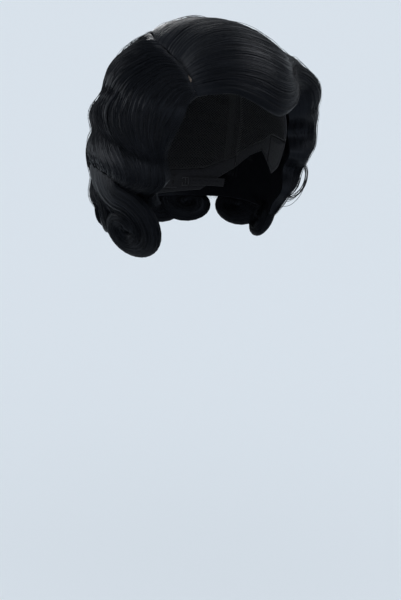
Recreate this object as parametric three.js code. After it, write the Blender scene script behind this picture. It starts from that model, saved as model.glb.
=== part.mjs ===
// A short finger-waved wig with a side parting, on a machine-made weft cap.
// Millimetres, +Z up, the face opening towards -Y. The origin is on top of the head, inside the crown.
import * as THREE from 'three';

// ---------------------------------------------------------------- driving dimensions
// The head form that the cap fits: an ellipsoid, longer below its widest level than above it.
const HEAD = { halfWidth: 76, halfLength: 96, above: 90, below: 140 };
const CENTRE = new THREE.Vector3(0, 0, -HEAD.above);

// Layers, as [inner, outer] heights above the head.
const LAYER = {
  adjuster: [0.3, 1.0],
  cap: [1.4, 2.1],
  stay: [2.5, 3.0],
  rib: [2.5, 3.1],
  parting: [2.5, 3.2],
  weft: [3.5, 4.4],
};
const HAIR_ROOT_INNER = 3.8;   // the hair's inside, near the parting and elsewhere
const HAIR_INNER = 5.5;
const HAIR_THINNEST = 1.3;

// Finger waves: the locks sway to one side and back at ridges WAVE_PITCH degrees apart down the head,
// counted from WAVE_LEVEL, and the hair swells into one roll for every two of them.
const WAVE_PITCH = 11.5;
const WAVE_LEVEL = 93;
const WAVE_HEIGHT = 3.6;
const WAVE_SWAY = 6;
const SHOULDER = WAVE_LEVEL - 2.5 * WAVE_PITCH;
const MIDDLE = WAVE_LEVEL + 0.5 * WAVE_PITCH;
const ENDS = WAVE_LEVEL + 2.5 * WAVE_PITCH;
const SECTION_GAP = 0.045;   // half the gap between hair sections side by side, in guides
const END_GAP = 0.004;       // half the gap between hair sections in line, as a share of a lock's length
const DIP_SHARE = 0.66;      // how far along its way to the shoulder the fringe dips at the temple
const CURL_LIFT = 9.5;       // how much higher the waves end above the right side's pin curl, in degrees
const NAPE_CURL_POLAR = 134;
const NAPE_CURL_SIZE = 0.95;

const FRONT_REACH = 58;      // the front band ends here, in degrees from the middle of the forehead
const TAB = { from: 59, to: 82, top: 87.4 };
const EAR_END = 116;         // the over-ear band ends and the nape band starts here
const STAY = { from: 71, to: 74, top: 89, bottom: 108 };
const CROWN_NET_POLAR = 40;
const SEAM = 0.9;            // gap between neighbouring pieces of the cap, in degrees
const WEFT_HALF_WIDTH = 1.5;
const WEFT_STEP = 7.5;       // degrees round the head for each flat facet of a weft
const RIB_WIDTH = 8;
const RIB_TOP = 44;
const HEAD_ROUND = 95;       // a round figure for the head's radius, to turn a rib's width into degrees
const STRAP = { from: 122, to: 148, polar: 126, half: 2.2 };
const LOOP_TAPE = { from: 157, to: 175 };
const CURL = { ring: 19, turns: 1.02, pitch: 15.5, halfWidth: 7, tipHalfWidth: 4.5, halfThickness: 7 };

// ---------------------------------------------------------------- materials
function finish(color, roughness, metalness = 0) {
  return new THREE.MeshStandardMaterial({ color, roughness, metalness });
}
const HAIR = finish(0x12151a, 0.38);
const NET = finish(0x17181b, 0.85);
const ELASTIC = finish(0x1b1c20, 0.8);
const TAPE = finish(0x202126, 0.85);
const SKIN = finish(0xd9b79c, 0.6);
const STEEL = finish(0x8c8f94, 0.35, 0.9);
const HOOK = finish(0x24262a, 0.4);

const wig = new THREE.Group();

function add(name, geometry, material) {
  const mesh = new THREE.Mesh(geometry, material);
  mesh.name = name;
  wig.add(mesh);
}

// ---------------------------------------------------------------- places on the head
const radians = THREE.MathUtils.degToRad;

// Azimuth 0 is the forehead and 90 the wearer's left ear; polar 0 is straight up.
function direction(azimuth, polar) {
  const a = radians(azimuth);
  const p = radians(polar);
  return new THREE.Vector3(Math.sin(a) * Math.sin(p), -Math.cos(a) * Math.sin(p), Math.cos(p));
}

// Distance from the head's centre to its surface along a unit direction.
function headRadius(d) {
  const vertical = d.z >= 0 ? HEAD.above : HEAD.below;
  return 1 / Math.hypot(d.x / HEAD.halfWidth, d.y / HEAD.halfLength, d.z / vertical);
}

const raised = (d, lift) => d.clone().multiplyScalar(headRadius(d) + lift).add(CENTRE);

// Straight-line interpolation through a list of [x, y] points, for x in order.
function through(points, x) {
  const last = points.length - 1;
  let i = 0;
  while (i < last - 1 && x > points[i + 1][0]) i += 1;
  const [x0, y0] = points[i];
  const [x1, y1] = points[i + 1];
  return THREE.MathUtils.lerp(y0, y1, THREE.MathUtils.clamp((x - x0) / (x1 - x0), 0, 1));
}

const grid = (columns, rows, at) => Array.from({ length: rows + 1 },
  (_, j) => Array.from({ length: columns + 1 }, (_, i) => at(i / columns, j / rows)));

// ---------------------------------------------------------------- closed solids
// Turns a closed body the right way out, by the sign of its volume.
function closed(positions, faces) {
  const v = (i) => new THREE.Vector3().fromArray(positions, 3 * i);
  const volume = faces.reduce((sum, [a, b, c]) => sum + v(a).dot(v(b).cross(v(c))), 0);
  const index = faces.flatMap(([a, b, c]) => (volume > 0 ? [a, b, c] : [a, c, b]));
  const geometry = new THREE.BufferGeometry();
  geometry.setAttribute('position', new THREE.Float32BufferAttribute(positions, 3));
  geometry.setIndex(index);
  geometry.computeVertexNormals();
  return geometry;
}

// The solid between an inner and an outer grid of points. filled(i, j) says which cells are there, so a
// window is a cell that is left out; every edge between a cell that is there and one that isn't gets a wall.
function slab(inner, outer, filled = () => true) {
  const rows = inner.length - 1;
  const columns = inner[0].length - 1;
  const positions = [...inner.flat(), ...outer.flat()].flatMap((p) => p.toArray());
  const layer = (rows + 1) * (columns + 1);
  const at = (i, j, k) => k * layer + j * (columns + 1) + i;
  const has = (i, j) => i >= 0 && j >= 0 && i < columns && j < rows && filled(i, j);
  const faces = [];
  const quad = (a, b, c, d) => faces.push([a, b, c], [a, c, d]);
  for (let j = 0; j < rows; j += 1) {
    for (let i = 0; i < columns; i += 1) {
      if (!has(i, j)) continue;
      quad(at(i, j, 1), at(i + 1, j, 1), at(i + 1, j + 1, 1), at(i, j + 1, 1));
      quad(at(i, j, 0), at(i, j + 1, 0), at(i + 1, j + 1, 0), at(i + 1, j, 0));
      if (!has(i, j - 1)) quad(at(i, j, 0), at(i + 1, j, 0), at(i + 1, j, 1), at(i, j, 1));
      if (!has(i, j + 1)) quad(at(i, j + 1, 0), at(i, j + 1, 1), at(i + 1, j + 1, 1), at(i + 1, j + 1, 0));
      if (!has(i - 1, j)) quad(at(i, j, 0), at(i, j, 1), at(i, j + 1, 1), at(i, j + 1, 0));
      if (!has(i + 1, j)) quad(at(i + 1, j, 0), at(i + 1, j + 1, 0), at(i + 1, j + 1, 1), at(i + 1, j, 1));
    }
  }
  return closed(positions, faces);
}

// A tube with pinched ends: centres, and for each the two half-axes of its oval section.
function tube(centres, acrosses, ups, sides = 8) {
  const rings = centres.map((c, k) => Array.from({ length: sides }, (_, i) => {
    const t = (2 * Math.PI * i) / sides;
    return c.clone().addScaledVector(acrosses[k], Math.cos(t)).addScaledVector(ups[k], Math.sin(t));
  }));
  const last = centres.length - 1;
  const tips = [
    centres[0].clone().add(centres[0]).sub(centres[1]).lerp(centres[0], 0.5),
    centres[last].clone().add(centres[last]).sub(centres[last - 1]).lerp(centres[last], 0.5),
  ];
  const positions = [...rings.flat(), ...tips].flatMap((p) => p.toArray());
  const faces = [];
  for (let i = 0; i < sides; i += 1) {
    const n = (i + 1) % sides;
    for (let k = 0; k < last; k += 1) {
      const [a, b] = [k * sides, (k + 1) * sides];
      faces.push([a + i, b + i, b + n], [a + i, b + n, a + n]);
    }
    faces.push([centres.length * sides, i, n]);
    faces.push([centres.length * sides + 1, last * sides + n, last * sides + i]);
  }
  return closed(positions, faces);
}

// A piece of a layer: place(s, t) gives a direction for s across and t down, both 0 to 1.
function skin(place, [inner, outer], columns, rows, filled) {
  const at = (lift) => grid(columns, rows, (s, t) => raised(place(s, t), lift));
  return slab(at(inner), at(outer), filled);
}

// A piece between two azimuths whose top and bottom levels follow the azimuth.
const band = (from, to, top, bottom) => (s, t) => {
  const azimuth = THREE.MathUtils.lerp(from, to, s);
  return direction(azimuth, THREE.MathUtils.lerp(top(azimuth), bottom(azimuth), t));
};

// ---------------------------------------------------------------- the cap
// Levels down the head by distance from the middle of the forehead: the cap's lower edge, and the
// seam where its nets meet the bands.
const EDGE = [[0, 51], [30, 52], [40, 54], [46, 60], [50, 67], [55, 78], [60, 92], [66, 106], [74, 112],
  [82, 107], [92, 100], [104, 106], [116, 116], [140, 130], [180, 132]];
const NET_SEAM = [[0, 44], [30, 45], [40, 47], [46, 53], [50, 60], [55, 71], [58, 80], [60, 86], [82, 86],
  [92, 93], [104, 99], [116, 108], [140, 118], [180, 120]];
const fromForehead = (azimuth) => Math.abs(azimuth > 180 ? azimuth - 360 : azimuth);
const edge = (azimuth) => through(EDGE, fromForehead(azimuth));
const netSeam = (azimuth) => through(NET_SEAM, fromForehead(azimuth));
const belowSeam = (azimuth) => netSeam(azimuth) + SEAM;
const level = (polar) => () => polar;

function crownNet() {
  const disc = (s, t) => {
    const x = 2 * s - 1;
    const y = 2 * t - 1;
    const across = x * Math.sqrt(1 - (y * y) / 2);
    const along = y * Math.sqrt(1 - (x * x) / 2);
    const polar = CROWN_NET_POLAR * Math.hypot(across, along);
    return direction(THREE.MathUtils.radToDeg(Math.atan2(across, -along)), polar);
  };
  add('crown_net', skin(disc, LAYER.cap, 10, 10), NET);
}

function nets() {
  const top = level(CROWN_NET_POLAR + SEAM);
  add('side_net_left', skin(band(0.2, EAR_END - 0.2, top, netSeam), LAYER.cap, 18, 4), NET);
  add('side_net_right', skin(band(-0.2, 0.2 - EAR_END, top, netSeam), LAYER.cap, 18, 4), NET);
  add('back_net', skin(band(EAR_END + 0.2, 359.8 - EAR_END, top, netSeam), LAYER.cap, 18, 6), NET);
}

function bands() {
  add('front_band', skin(band(-FRONT_REACH, FRONT_REACH, belowSeam, edge), LAYER.cap, 24, 1), ELASTIC);
  add('nape_band', skin(band(EAR_END + 0.2, 359.8 - EAR_END, belowSeam, edge), LAYER.cap, 18, 2), ELASTIC);
  add('ear_band_left', skin(band(TAB.to + SEAM, EAR_END - 0.2, belowSeam, edge), LAYER.cap, 6, 1), ELASTIC);
  const rightEar = band(-TAB.to - SEAM, 0.2 - EAR_END, belowSeam, edge);
  add('ear_band_right', skin(rightEar, LAYER.cap, 6, 1), ELASTIC);
}

function earTab(side, sign) {
  const tab = band(sign * TAB.from, sign * TAB.to, level(TAB.top), edge);
  add(`ear_tab_${side}`, skin(tab, LAYER.cap, 6, 4), TAPE);
  const stay = band(sign * STAY.from, sign * STAY.to, level(STAY.top), level(STAY.bottom));
  add(`ear_stay_${side}`, skin(stay, LAYER.stay, 1, 5), STEEL);
}

// The skin-coloured strip under the parting, between two lines that run back from the forehead.
function partingStrip() {
  const [inFront, inBack] = [direction(-29, 50), direction(-52, 21)];
  const [outFront, outBack] = [direction(-47, 52), direction(-92, 33)];
  const strip = (s, t) => {
    const inside = inFront.clone().lerp(inBack, t);
    const outside = outFront.clone().lerp(outBack, t);
    return inside.lerp(outside, s).normalize();
  };
  add('parting_strip', skin(strip, LAYER.parting, 4, 8), SKIN);
}

function ribs() {
  const rib = (name, azimuth, bottom) => {
    const strip = (s, t) => {
      const polar = THREE.MathUtils.lerp(RIB_TOP, bottom, t);
      const half = THREE.MathUtils.radToDeg(RIB_WIDTH / 2 / (HEAD_ROUND * Math.sin(radians(polar))));
      return direction(azimuth + half * (2 * s - 1), polar);
    };
    add(name, skin(strip, LAYER.rib, 1, 12), TAPE);
  };
  rib('rib_centre', 180, 128);
  rib('rib_left', 124, 112);
  rib('rib_right', -124, 112);
}

// Rows of weft round the back of the head, each from one azimuth to the same one on the other side.
function wefts() {
  const starts = [62, 62, 62, 62, 101, 114];
  starts.forEach((start, row) => {
    const polar = SHOULDER + WAVE_PITCH * (row - 1);
    const track = band(start, 360 - start, level(polar - WEFT_HALF_WIDTH), level(polar + WEFT_HALF_WIDTH));
    add(`weft_${row + 1}`, skin(track, LAYER.weft, Math.round((360 - 2 * start) / WEFT_STEP), 1), TAPE);
  });
}

function adjuster(side, sign) {
  const around = (from, to, half) => {
    const [top, bottom] = [level(STRAP.polar - half), level(STRAP.polar + half)];
    return band(sign * from, sign * to, top, bottom);
  };
  const strap = around(STRAP.from, STRAP.to, STRAP.half);
  add(`adjuster_strap_${side}`, skin(strap, LAYER.adjuster, 5, 1), ELASTIC);
  // A ring that the strap is sewn through, with a finger beside it that hooks into the tape.
  const hookShape = ['11111', '10100', '10100', '10101', '11111'];
  const hook = around(STRAP.to + SEAM, STRAP.to + 6, STRAP.half + 0.4);
  add(`adjuster_hook_${side}`, skin(hook, LAYER.adjuster, 5, 5, (i, j) => hookShape[j][i] === '1'), HOOK);
  const tape = around(LOOP_TAPE.from, LOOP_TAPE.to, STRAP.half + 1);
  const rung = (i, j) => j !== 1 || i % 2 === 0;
  add(`loop_tape_${side}`, skin(tape, LAYER.adjuster, 9, 3, rung), TAPE);
}

// ---------------------------------------------------------------- how the hair is combed
// Each guide is the way one lock lies, from its root on the parting or the crown to its tip, as
// [azimuth, polar, height, wave], where wave says how much of the finger wave it shows.
// fall() runs a lock down from one ridge to another: it sways to one side and back at each ridge.
function fall(azimuth, first, height, tipHeight, sway = WAVE_SWAY, drift = 0, last = 139, power = 2) {
  const count = Math.round((last - first) / WAVE_PITCH);
  return Array.from({ length: count + 1 }, (_, i) => {
    const f = i / count;
    const polar = first + WAVE_PITCH * i;
    const turn = Math.round((polar - WAVE_LEVEL) / WAVE_PITCH) % 2 === 0 ? -1 : 1;
    return [azimuth + drift * f + sway * turn, polar, height + (tipHeight - height) * f ** power, 1];
  });
}

const GUIDES = [
  [[-37, 54, 5], [-28, 53.5, 9], [-15, 53, 11], [-3, 57.5, 11], [8, 63.5, 12], [17, 66.5, 13], [27, 65, 16],
    [35, 61, 20], [43, 57, 22], [51, 60, 26, 0.5], ...fall(58, 70, 29, 6, 4.5, 0, 139, 1.5)],
  [[-43, 46, 5], [-31, 45, 11], [-14, 45, 15], [2, 49, 17], [13, 54.5, 18], [22, 57, 20], [31, 56, 23],
    [39, 53, 25], [46, 51, 26], [54, 56, 32, 0.5], ...fall(64, 70, 37, 6, 4.5, 0, 139, 1.4)],
  [[-53, 38, 5], [-38, 35, 13], [-14, 34, 19], [8, 38, 22], [21, 44, 24], [30, 48, 25], [38, 48, 26],
    [45, 46, 27], [52, 46, 30], [61, 54, 39, 0.5], ...fall(72, 70, 44, 7, 4.5, 0, 139, 1.1)],
  [[-68, 30, 5], [-52, 21, 15], [-10, 18, 23], [30, 27, 26], [42, 34, 28], [49, 39, 29], [55, 41, 29],
    [61, 43, 33], [67, 48, 38, 0.5], [74, 59, 41, 1], ...fall(82, 70, 42, 10, 4.5, 0, 139, 1.1)],
  [[-88, 27, 11], [-88, 12, 19], [70, 8, 25], [80, 20, 27], [82, 29, 28], [84, 36, 29], [87, 44, 30, 0.5],
    [89, 52, 31, 1], [91, 60, 33, 1], ...fall(94, 70, 33, 14, 4.5, 0, 139, 1.4)],
  [[-108, 27, 18], [-142, 13, 23], [140, 16, 26], [120, 28, 27], [114, 38, 27], [111, 48, 26, 0.5],
    [110, 58.5, 26, 1], ...fall(108, 70, 27, 17)],
  [[-125, 28, 21], [-158, 22, 24], [165, 25, 26], [144, 36, 25], [136, 47, 24, 0.5], [131, 58.5, 23, 1],
    ...fall(128, 70, 22, 18)],
  [[-138, 30, 22], [-166, 33, 24], [172, 38, 25], [159, 48, 23, 0.5], [153, 58.5, 22, 1],
    ...fall(150, 70, 21, 18)],
  [[-147, 32, 22], [-164, 39, 24], [-177, 48, 23, 0.5], [178, 58.5, 22, 1], ...fall(172, 70, 21, 18)],
  [[-146, 34.5, 22], [-153, 42, 23], [-159, 50, 22, 0.5], [-163, 58.5, 21, 1], ...fall(-166, 70, 22, 20)],
  [[-130, 31.5, 21], [-137, 42, 22], [-143, 50, 24, 0.5], [-149, 58.5, 23, 0.8], [-152, 70, 22, 1],
    [-149, 82, 23, 1], [-141, 93, 23, 1], ...fall(-139, 104.5, 24, 22)],
  [[-108, 29.5, 17], [-118, 38, 22], [-126, 48, 24, 0.3], [-133, 58.5, 23, 0.4], [-136, 70, 21, 0.4],
    [-133, 81, 20, 0.6], [-121, 93, 23, 1], ...fall(-112, 104.5, 25, 23)],
  [[-82, 30, 9], [-95, 35, 15], [-105, 46, 19, 0.2], [-112, 58, 19, 0.3], [-114, 69, 21, 0.4],
    [-110, 80, 22, 0.6], [-95, 92, 24, 0.9], ...fall(-84, 104.5, 26, 23, 7)],
  [[-63, 34, 5], [-79, 37, 11], [-88, 46, 15, 0.1], [-94, 58, 18, 0.2], [-94, 70, 20, 0.3],
    [-87, 81, 22, 0.5], [-73, 93, 24, 0.9], ...fall(-70, 104.5, 25, 22, 7)],
  [[-52, 40, 5], [-66, 43, 10], [-74, 52, 14], [-77, 63, 17, 0.1], [-75, 74, 19, 0.2],
    [-69, 84, 21, 0.4], [-61, 94, 23, 0.9], ...fall(-63, 104.5, 24, 21)],
  [[-46, 47, 5], [-55, 50, 9], [-61, 59, 13], [-63, 70, 16, 0.1], [-61, 81, 18, 0.3],
    [-56, 93, 20, 0.9], ...fall(-58, 104.5, 21, 19, 5)],
  [[-41, 54, 5], [-44, 60, 8], [-46, 69, 11, 0.1], [-50, 80, 14, 0.3], [-53, 93, 17, 0.9],
    ...fall(-54, 104.5, 18, 17, 4.5)],
];
const STATIONS = 96;

// Catmull-Rom through equal-length rows of numbers, at a real position t from 0 to rows.length - 1.
function spline(rows, t) {
  const last = rows.length - 1;
  const i = Math.min(Math.floor(t), last - 1);
  const f = t - i;
  const row = (k, c) => {
    if (k < 0) return 2 * rows[0][c] - rows[1][c];
    if (k > last) return 2 * rows[last][c] - rows[last - 1][c];
    return rows[k][c];
  };
  return rows[0].map((_, c) => {
    const [a, b, d, e] = [row(i - 1, c), row(i, c), row(i + 1, c), row(i + 2, c)];
    const [square, cube] = [2 * a - 5 * b + 4 * d - e, 3 * b - a - 3 * d + e];
    return 0.5 * (2 * b + (d - a) * f + square * f * f + cube * f ** 3);
  });
}

// A guide as STATIONS + 1 rows of [x, y, z on the head, height, wave], equally spaced along the lock.
function comb(guide) {
  const rows = guide.map(([azimuth, polar, height, wave = 0]) => {
    const d = direction(azimuth, polar);
    return [...d.multiplyScalar(headRadius(d)).toArray(), height, wave];
  });
  const fine = Array.from({ length: 24 * (rows.length - 1) + 1 }, (_, k) => spline(rows, k / 24));
  const lengths = [0];
  for (let k = 1; k < fine.length; k += 1) {
    const step = Math.hypot(...[0, 1, 2].map((c) => fine[k][c] - fine[k - 1][c]));
    lengths.push(lengths[k - 1] + step);
  }
  const total = lengths[lengths.length - 1];
  return Array.from({ length: STATIONS + 1 }, (_, k) => {
    const s = (total * k) / STATIONS;
    return fine[0].map((_, c) => through(lengths.map((x, i) => [x, fine[i][c]]), s));
  });
}
const NETTING = GUIDES.map(comb);

// The hair at guide position u and distance v from root (0) to tip (1).
function hairAt(u, v) {
  const station = Math.min(Math.max(v, 0), 1) * STATIONS;
  const across = NETTING.map((guide) => spline(guide, station));
  const [x, y, z, height, wave] = spline(across, u);
  const d = new THREE.Vector3(x, y, z).normalize();
  const polar = THREE.MathUtils.radToDeg(Math.acos(d.z));
  const azimuth = Math.atan2(d.x, -d.y);
  const meander = 0.3 * Math.sin(3 * azimuth + 0.6) * (1 - Math.cos(azimuth));
  const phase = (polar - WAVE_LEVEL) / WAVE_PITCH + meander;
  const roll = 2 * (Math.sin((Math.PI / 2) * phase) ** 2 + 0.02) ** 0.5 - 1.2;
  const uneven = 1 + 0.35 * Math.sin(1.1 * phase + 4 * azimuth);
  return { d, height: height + WAVE_HEIGHT * wave * roll * uneven };
}

// Where a lock last passes a level on its way down, as a fraction of its length.
function passes(u, polar) {
  const level = (k) => {
    const across = NETTING.map((guide) => guide[k]);
    const [x, y, z] = spline(across, u);
    return THREE.MathUtils.radToDeg(Math.acos(z / Math.hypot(x, y, z)));
  };
  let k = STATIONS;
  let below = level(k);
  while (k > 1 && level(k - 1) > polar) {
    k -= 1;
    below = level(k);
  }
  const above = level(k - 1);
  return (k - 1 + (polar - above) / (below - above)) / STATIONS;
}

// One section of hair: guides from one to another, and from one level (or share of the way) to the next.
function hairSection(name, fromGuide, toGuide, start, end, columns, rows) {
  const side = fromGuide > 0 ? SECTION_GAP : 0;
  const otherSide = toGuide < GUIDES.length - 1 ? SECTION_GAP : 0;
  const spots = Array.from({ length: columns + 1 }, (_, i) => {
    const u = THREE.MathUtils.lerp(fromGuide + side, toGuide - otherSide, i / columns);
    const [from, to] = [start(u), end(u)];
    return { u, from: from > 0 ? from + END_GAP : 0, to: to - END_GAP };
  });
  const hair = grid(columns, rows, (s, t) => {
    const spot = spots[Math.round(s * columns)];
    return hairAt(spot.u, THREE.MathUtils.lerp(spot.from, spot.to, t));
  });
  const innerOf = (row) => row.map(({ d, height }) => {
    const inner = Math.min(HAIR_INNER, Math.max(HAIR_ROOT_INNER, height - HAIR_THINNEST));
    return raised(d, inner);
  });
  const outer = hair.map((row) => row.map(({ d, height }) => raised(d, height)));
  add(name, slab(hair.map(innerOf), outer), HAIR);
}

function hairSections() {
  const root = () => 0;
  const at = (polar) => (u) => passes(u, polar);
  const dip = (u) => DIP_SHARE * passes(u, SHOULDER);
  const hem = (u) => passes(u, ENDS - CURL_LIFT * THREE.MathUtils.smoothstep(u, 11.4, 12.6));
  hairSection('fringe_sweep', 0, 3, root, dip, 7, 8);
  hairSection('fringe_turn', 0, 3, dip, at(SHOULDER), 7, 6);
  hairSection('crown_hair_left', 3, 6, root, at(SHOULDER), 8, 12);
  hairSection('crown_hair_back', 6, 11, root, at(SHOULDER), 12, 8);
  hairSection('crown_hair_right', 11, 16, root, at(SHOULDER), 12, 6);
  const columns = [
    ['left_front', 0, 3, 6], ['left_back', 3, 6, 8], ['back_left', 6, 8, 5],
    ['back_right', 8, 11, 9], ['right_back', 11, 13, 5], ['right_front', 13, 16, 7],
  ];
  columns.forEach(([name, from, to, across]) => {
    hairSection(`${name}_upper_wave`, from, to, at(SHOULDER), at(MIDDLE), across, 9);
    hairSection(`${name}_lower_wave`, from, to, at(MIDDLE), hem, across, 6);
  });
}

// ---------------------------------------------------------------- curls
// A flat pin curl: the end of a lock wound in a spiral that lies against the side of the neck.
function pinCurl(name, azimuth, polar, lift, turn = 1, size = 1, spread = 1) {
  const out = direction(azimuth, polar);
  const normal = new THREE.Vector3(out.x, out.y, 0.35 * out.z).normalize();
  const along = new THREE.Vector3(0, 0, 1).cross(normal).normalize().multiplyScalar(turn);
  const up = normal.clone().cross(along).multiplyScalar(turn);
  along.multiplyScalar(spread);
  const steps = 15;
  const centre = raised(out, lift);
  const centres = [];
  const acrosses = [];
  const ups = [];
  for (let k = 0; k <= steps; k += 1) {
    const f = k / steps;
    const angle = 2 * Math.PI * CURL.turns * f + Math.PI / 2;
    const radial = along.clone().multiplyScalar(Math.cos(angle)).addScaledVector(up, Math.sin(angle));
    const radius = size * (CURL.ring - CURL.pitch * CURL.turns * f);
    const half = size * THREE.MathUtils.lerp(CURL.halfWidth, CURL.tipHalfWidth, f);
    centres.push(centre.clone().addScaledVector(radial, radius));
    acrosses.push(radial.multiplyScalar(half));
    ups.push(normal.clone().multiplyScalar(size * CURL.halfThickness * (1 - 0.3 * f)));
  }
  add(name, tube(centres, acrosses, ups), HAIR);
}

function curls() {
  pinCurl('pin_curl_right', -80, 134, 22, -1, 1.35, 1.2);
  pinCurl('pin_curl_left', 79, 136.5, 10, 1, 0.85);
  const napeCurls = [[-115, 18], [-138, 17], [-164, 16], [171, 15], [144, 15], [110.5, 14]];
  napeCurls.forEach(([azimuth, lift], k) => {
    pinCurl(`nape_curl_${k + 1}`, azimuth, NAPE_CURL_POLAR, lift, k % 2 ? 1 : -1, NAPE_CURL_SIZE);
  });
}

crownNet();
nets();
bands();
partingStrip();
ribs();
wefts();
for (const [side, sign] of [['left', 1], ['right', -1]]) {
  earTab(side, sign);
  adjuster(side, sign);
}
hairSections();
curls();

export default wig;
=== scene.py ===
# %% [markdown]
# # A short finger-waved wig
# The wig is a machine-made cap (nets, elastic bands, rows of weft) with hair sewn to it, combed flat from a side
# parting and set in finger waves that end in curls. The cap's shapes, sizes and moving parts are already fixed in
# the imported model, so this script only loads that model and dresses each of its parts.

# %% Load the frame
import math

import bpy
import numpy as np
from mathutils import Matrix


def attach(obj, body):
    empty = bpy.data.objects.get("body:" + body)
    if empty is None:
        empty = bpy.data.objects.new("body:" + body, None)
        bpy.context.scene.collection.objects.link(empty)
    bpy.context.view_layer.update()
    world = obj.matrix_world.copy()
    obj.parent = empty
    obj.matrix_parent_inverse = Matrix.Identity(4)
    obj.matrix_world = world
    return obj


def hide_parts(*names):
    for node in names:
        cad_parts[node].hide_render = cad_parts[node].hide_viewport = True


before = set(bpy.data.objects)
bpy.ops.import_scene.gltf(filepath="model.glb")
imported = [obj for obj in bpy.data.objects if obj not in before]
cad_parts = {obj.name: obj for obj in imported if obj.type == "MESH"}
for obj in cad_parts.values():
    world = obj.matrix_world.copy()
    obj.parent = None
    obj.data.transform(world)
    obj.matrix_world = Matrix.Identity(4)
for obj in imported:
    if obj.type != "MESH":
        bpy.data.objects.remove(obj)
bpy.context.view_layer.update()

MM = 0.001

# %% [markdown]
# ## The camera
# The wig is seen from the wearer's front right, a little above, with the head leaning slightly. A long lens from two
# metres keeps the perspective calm, as a studio shot of a wig does. The camera is aimed below the head, where the
# middle of a whole bust would be, so no lens shift is needed.

# %% Camera
AZIMUTH, ELEVATION, LEAN = -35, 11, -6      # degrees round, above and leaning over
DISTANCE = 2.0                              # metres from the middle of the head
PICTURE = (401, 600)
PICTURE_SCALE = 1.05                        # units of PICTURE to a mm, at the middle of the head
HEAD_IN_PICTURE = (199, 139)                # where the middle of the head is in the picture
HEAD_CENTRE = np.array([0.0, 0.0, -90.0])   # mm; the origin is on top of the head


def seen_from(azimuth, elevation):
    """The direction from the head to a place at azimuth degrees round it and elevation degrees above it."""
    a, e = math.radians(azimuth), math.radians(elevation)
    return np.array([math.sin(a) * math.cos(e), -math.cos(a) * math.cos(e), math.sin(e)])


def turned(a, b, angle):
    """Two directions turned by an angle in the plane that they share."""
    return math.cos(angle) * a + math.sin(angle) * b, math.cos(angle) * b - math.sin(angle) * a


def aimed(name, data, axes, away):
    """An object whose x, y and z axes point along axes, at a place that is away from the middle of the head."""
    matrix = np.eye(4)
    matrix[:3, :3] = np.stack(axes, 1)
    matrix[:3, 3] = HEAD_CENTRE * MM + away
    thing = bpy.data.objects.new(name, data)
    thing.matrix_world = Matrix(matrix.tolist())
    bpy.context.scene.collection.objects.link(thing)
    return thing


def add_camera():
    """A camera that looks at the head and leans over, then turned down and aside so that the head is high up."""
    back = seen_from(AZIMUTH, ELEVATION)
    away = back * DISTANCE
    level = np.cross([0, 0, 1], back)
    level /= np.linalg.norm(level)
    right, up = turned(level, np.cross(back, level), -math.radians(LEAN))
    focal = PICTURE_SCALE * DISTANCE / MM
    aside, down = (math.atan((whole / 2 - at) / focal) for whole, at in zip(PICTURE, HEAD_IN_PICTURE))
    back, up = turned(back, up, down)
    back, right = turned(back, right, -aside)
    data = bpy.data.cameras.new("camera")
    data.sensor_fit = "AUTO"
    data.sensor_width = 36
    data.lens = focal * data.sensor_width / max(PICTURE)
    data.clip_end = 100
    bpy.context.scene.camera = aimed("camera", data, (right, up, back), away)
    return bpy.context.scene.camera


camera = add_camera()
print("lens:", round(camera.data.lens, 1), "mm")

# %% [markdown]
# ## Putting a surface into a mesh
# Every new piece is worked out as arrays of points, in millimetres. These helpers join rows of points with faces,
# close the form, turn it the right way out by the sign of its volume, and hand it to the body it moves with.


# %% Faces of a grid
TRIANGLES = {}      # how many each piece has


def quads(rows, columns, first=0, round_columns=False):
    """Faces between neighbouring rows and columns of a grid whose points are numbered row by row from first."""
    ids = first + np.arange(rows * columns).reshape(rows, columns)
    if round_columns:
        ids = np.concatenate([ids, ids[:, :1]], 1)
    return np.stack([ids[:-1, :-1], ids[:-1, 1:], ids[1:, 1:], ids[1:, :-1]], -1).reshape(-1, 4)


def tube_ends(stations, sides):
    """The two flat faces that close a tube."""
    return np.array([np.arange(sides)[::-1], (stations - 1) * sides + np.arange(sides)])


def volume(points, faces):
    """The signed volume: the sum over triangles of a . (b x c) / 6."""
    total = 0.0
    for group in faces:
        for k in range(1, group.shape[1] - 1):
            a, b, c = points[group[:, 0]], points[group[:, k]], points[group[:, k + 1]]
            total += float((a * np.cross(b, c)).sum()) / 6
    return total


print("faces between three rows of four points:", len(quads(3, 4)))


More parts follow.
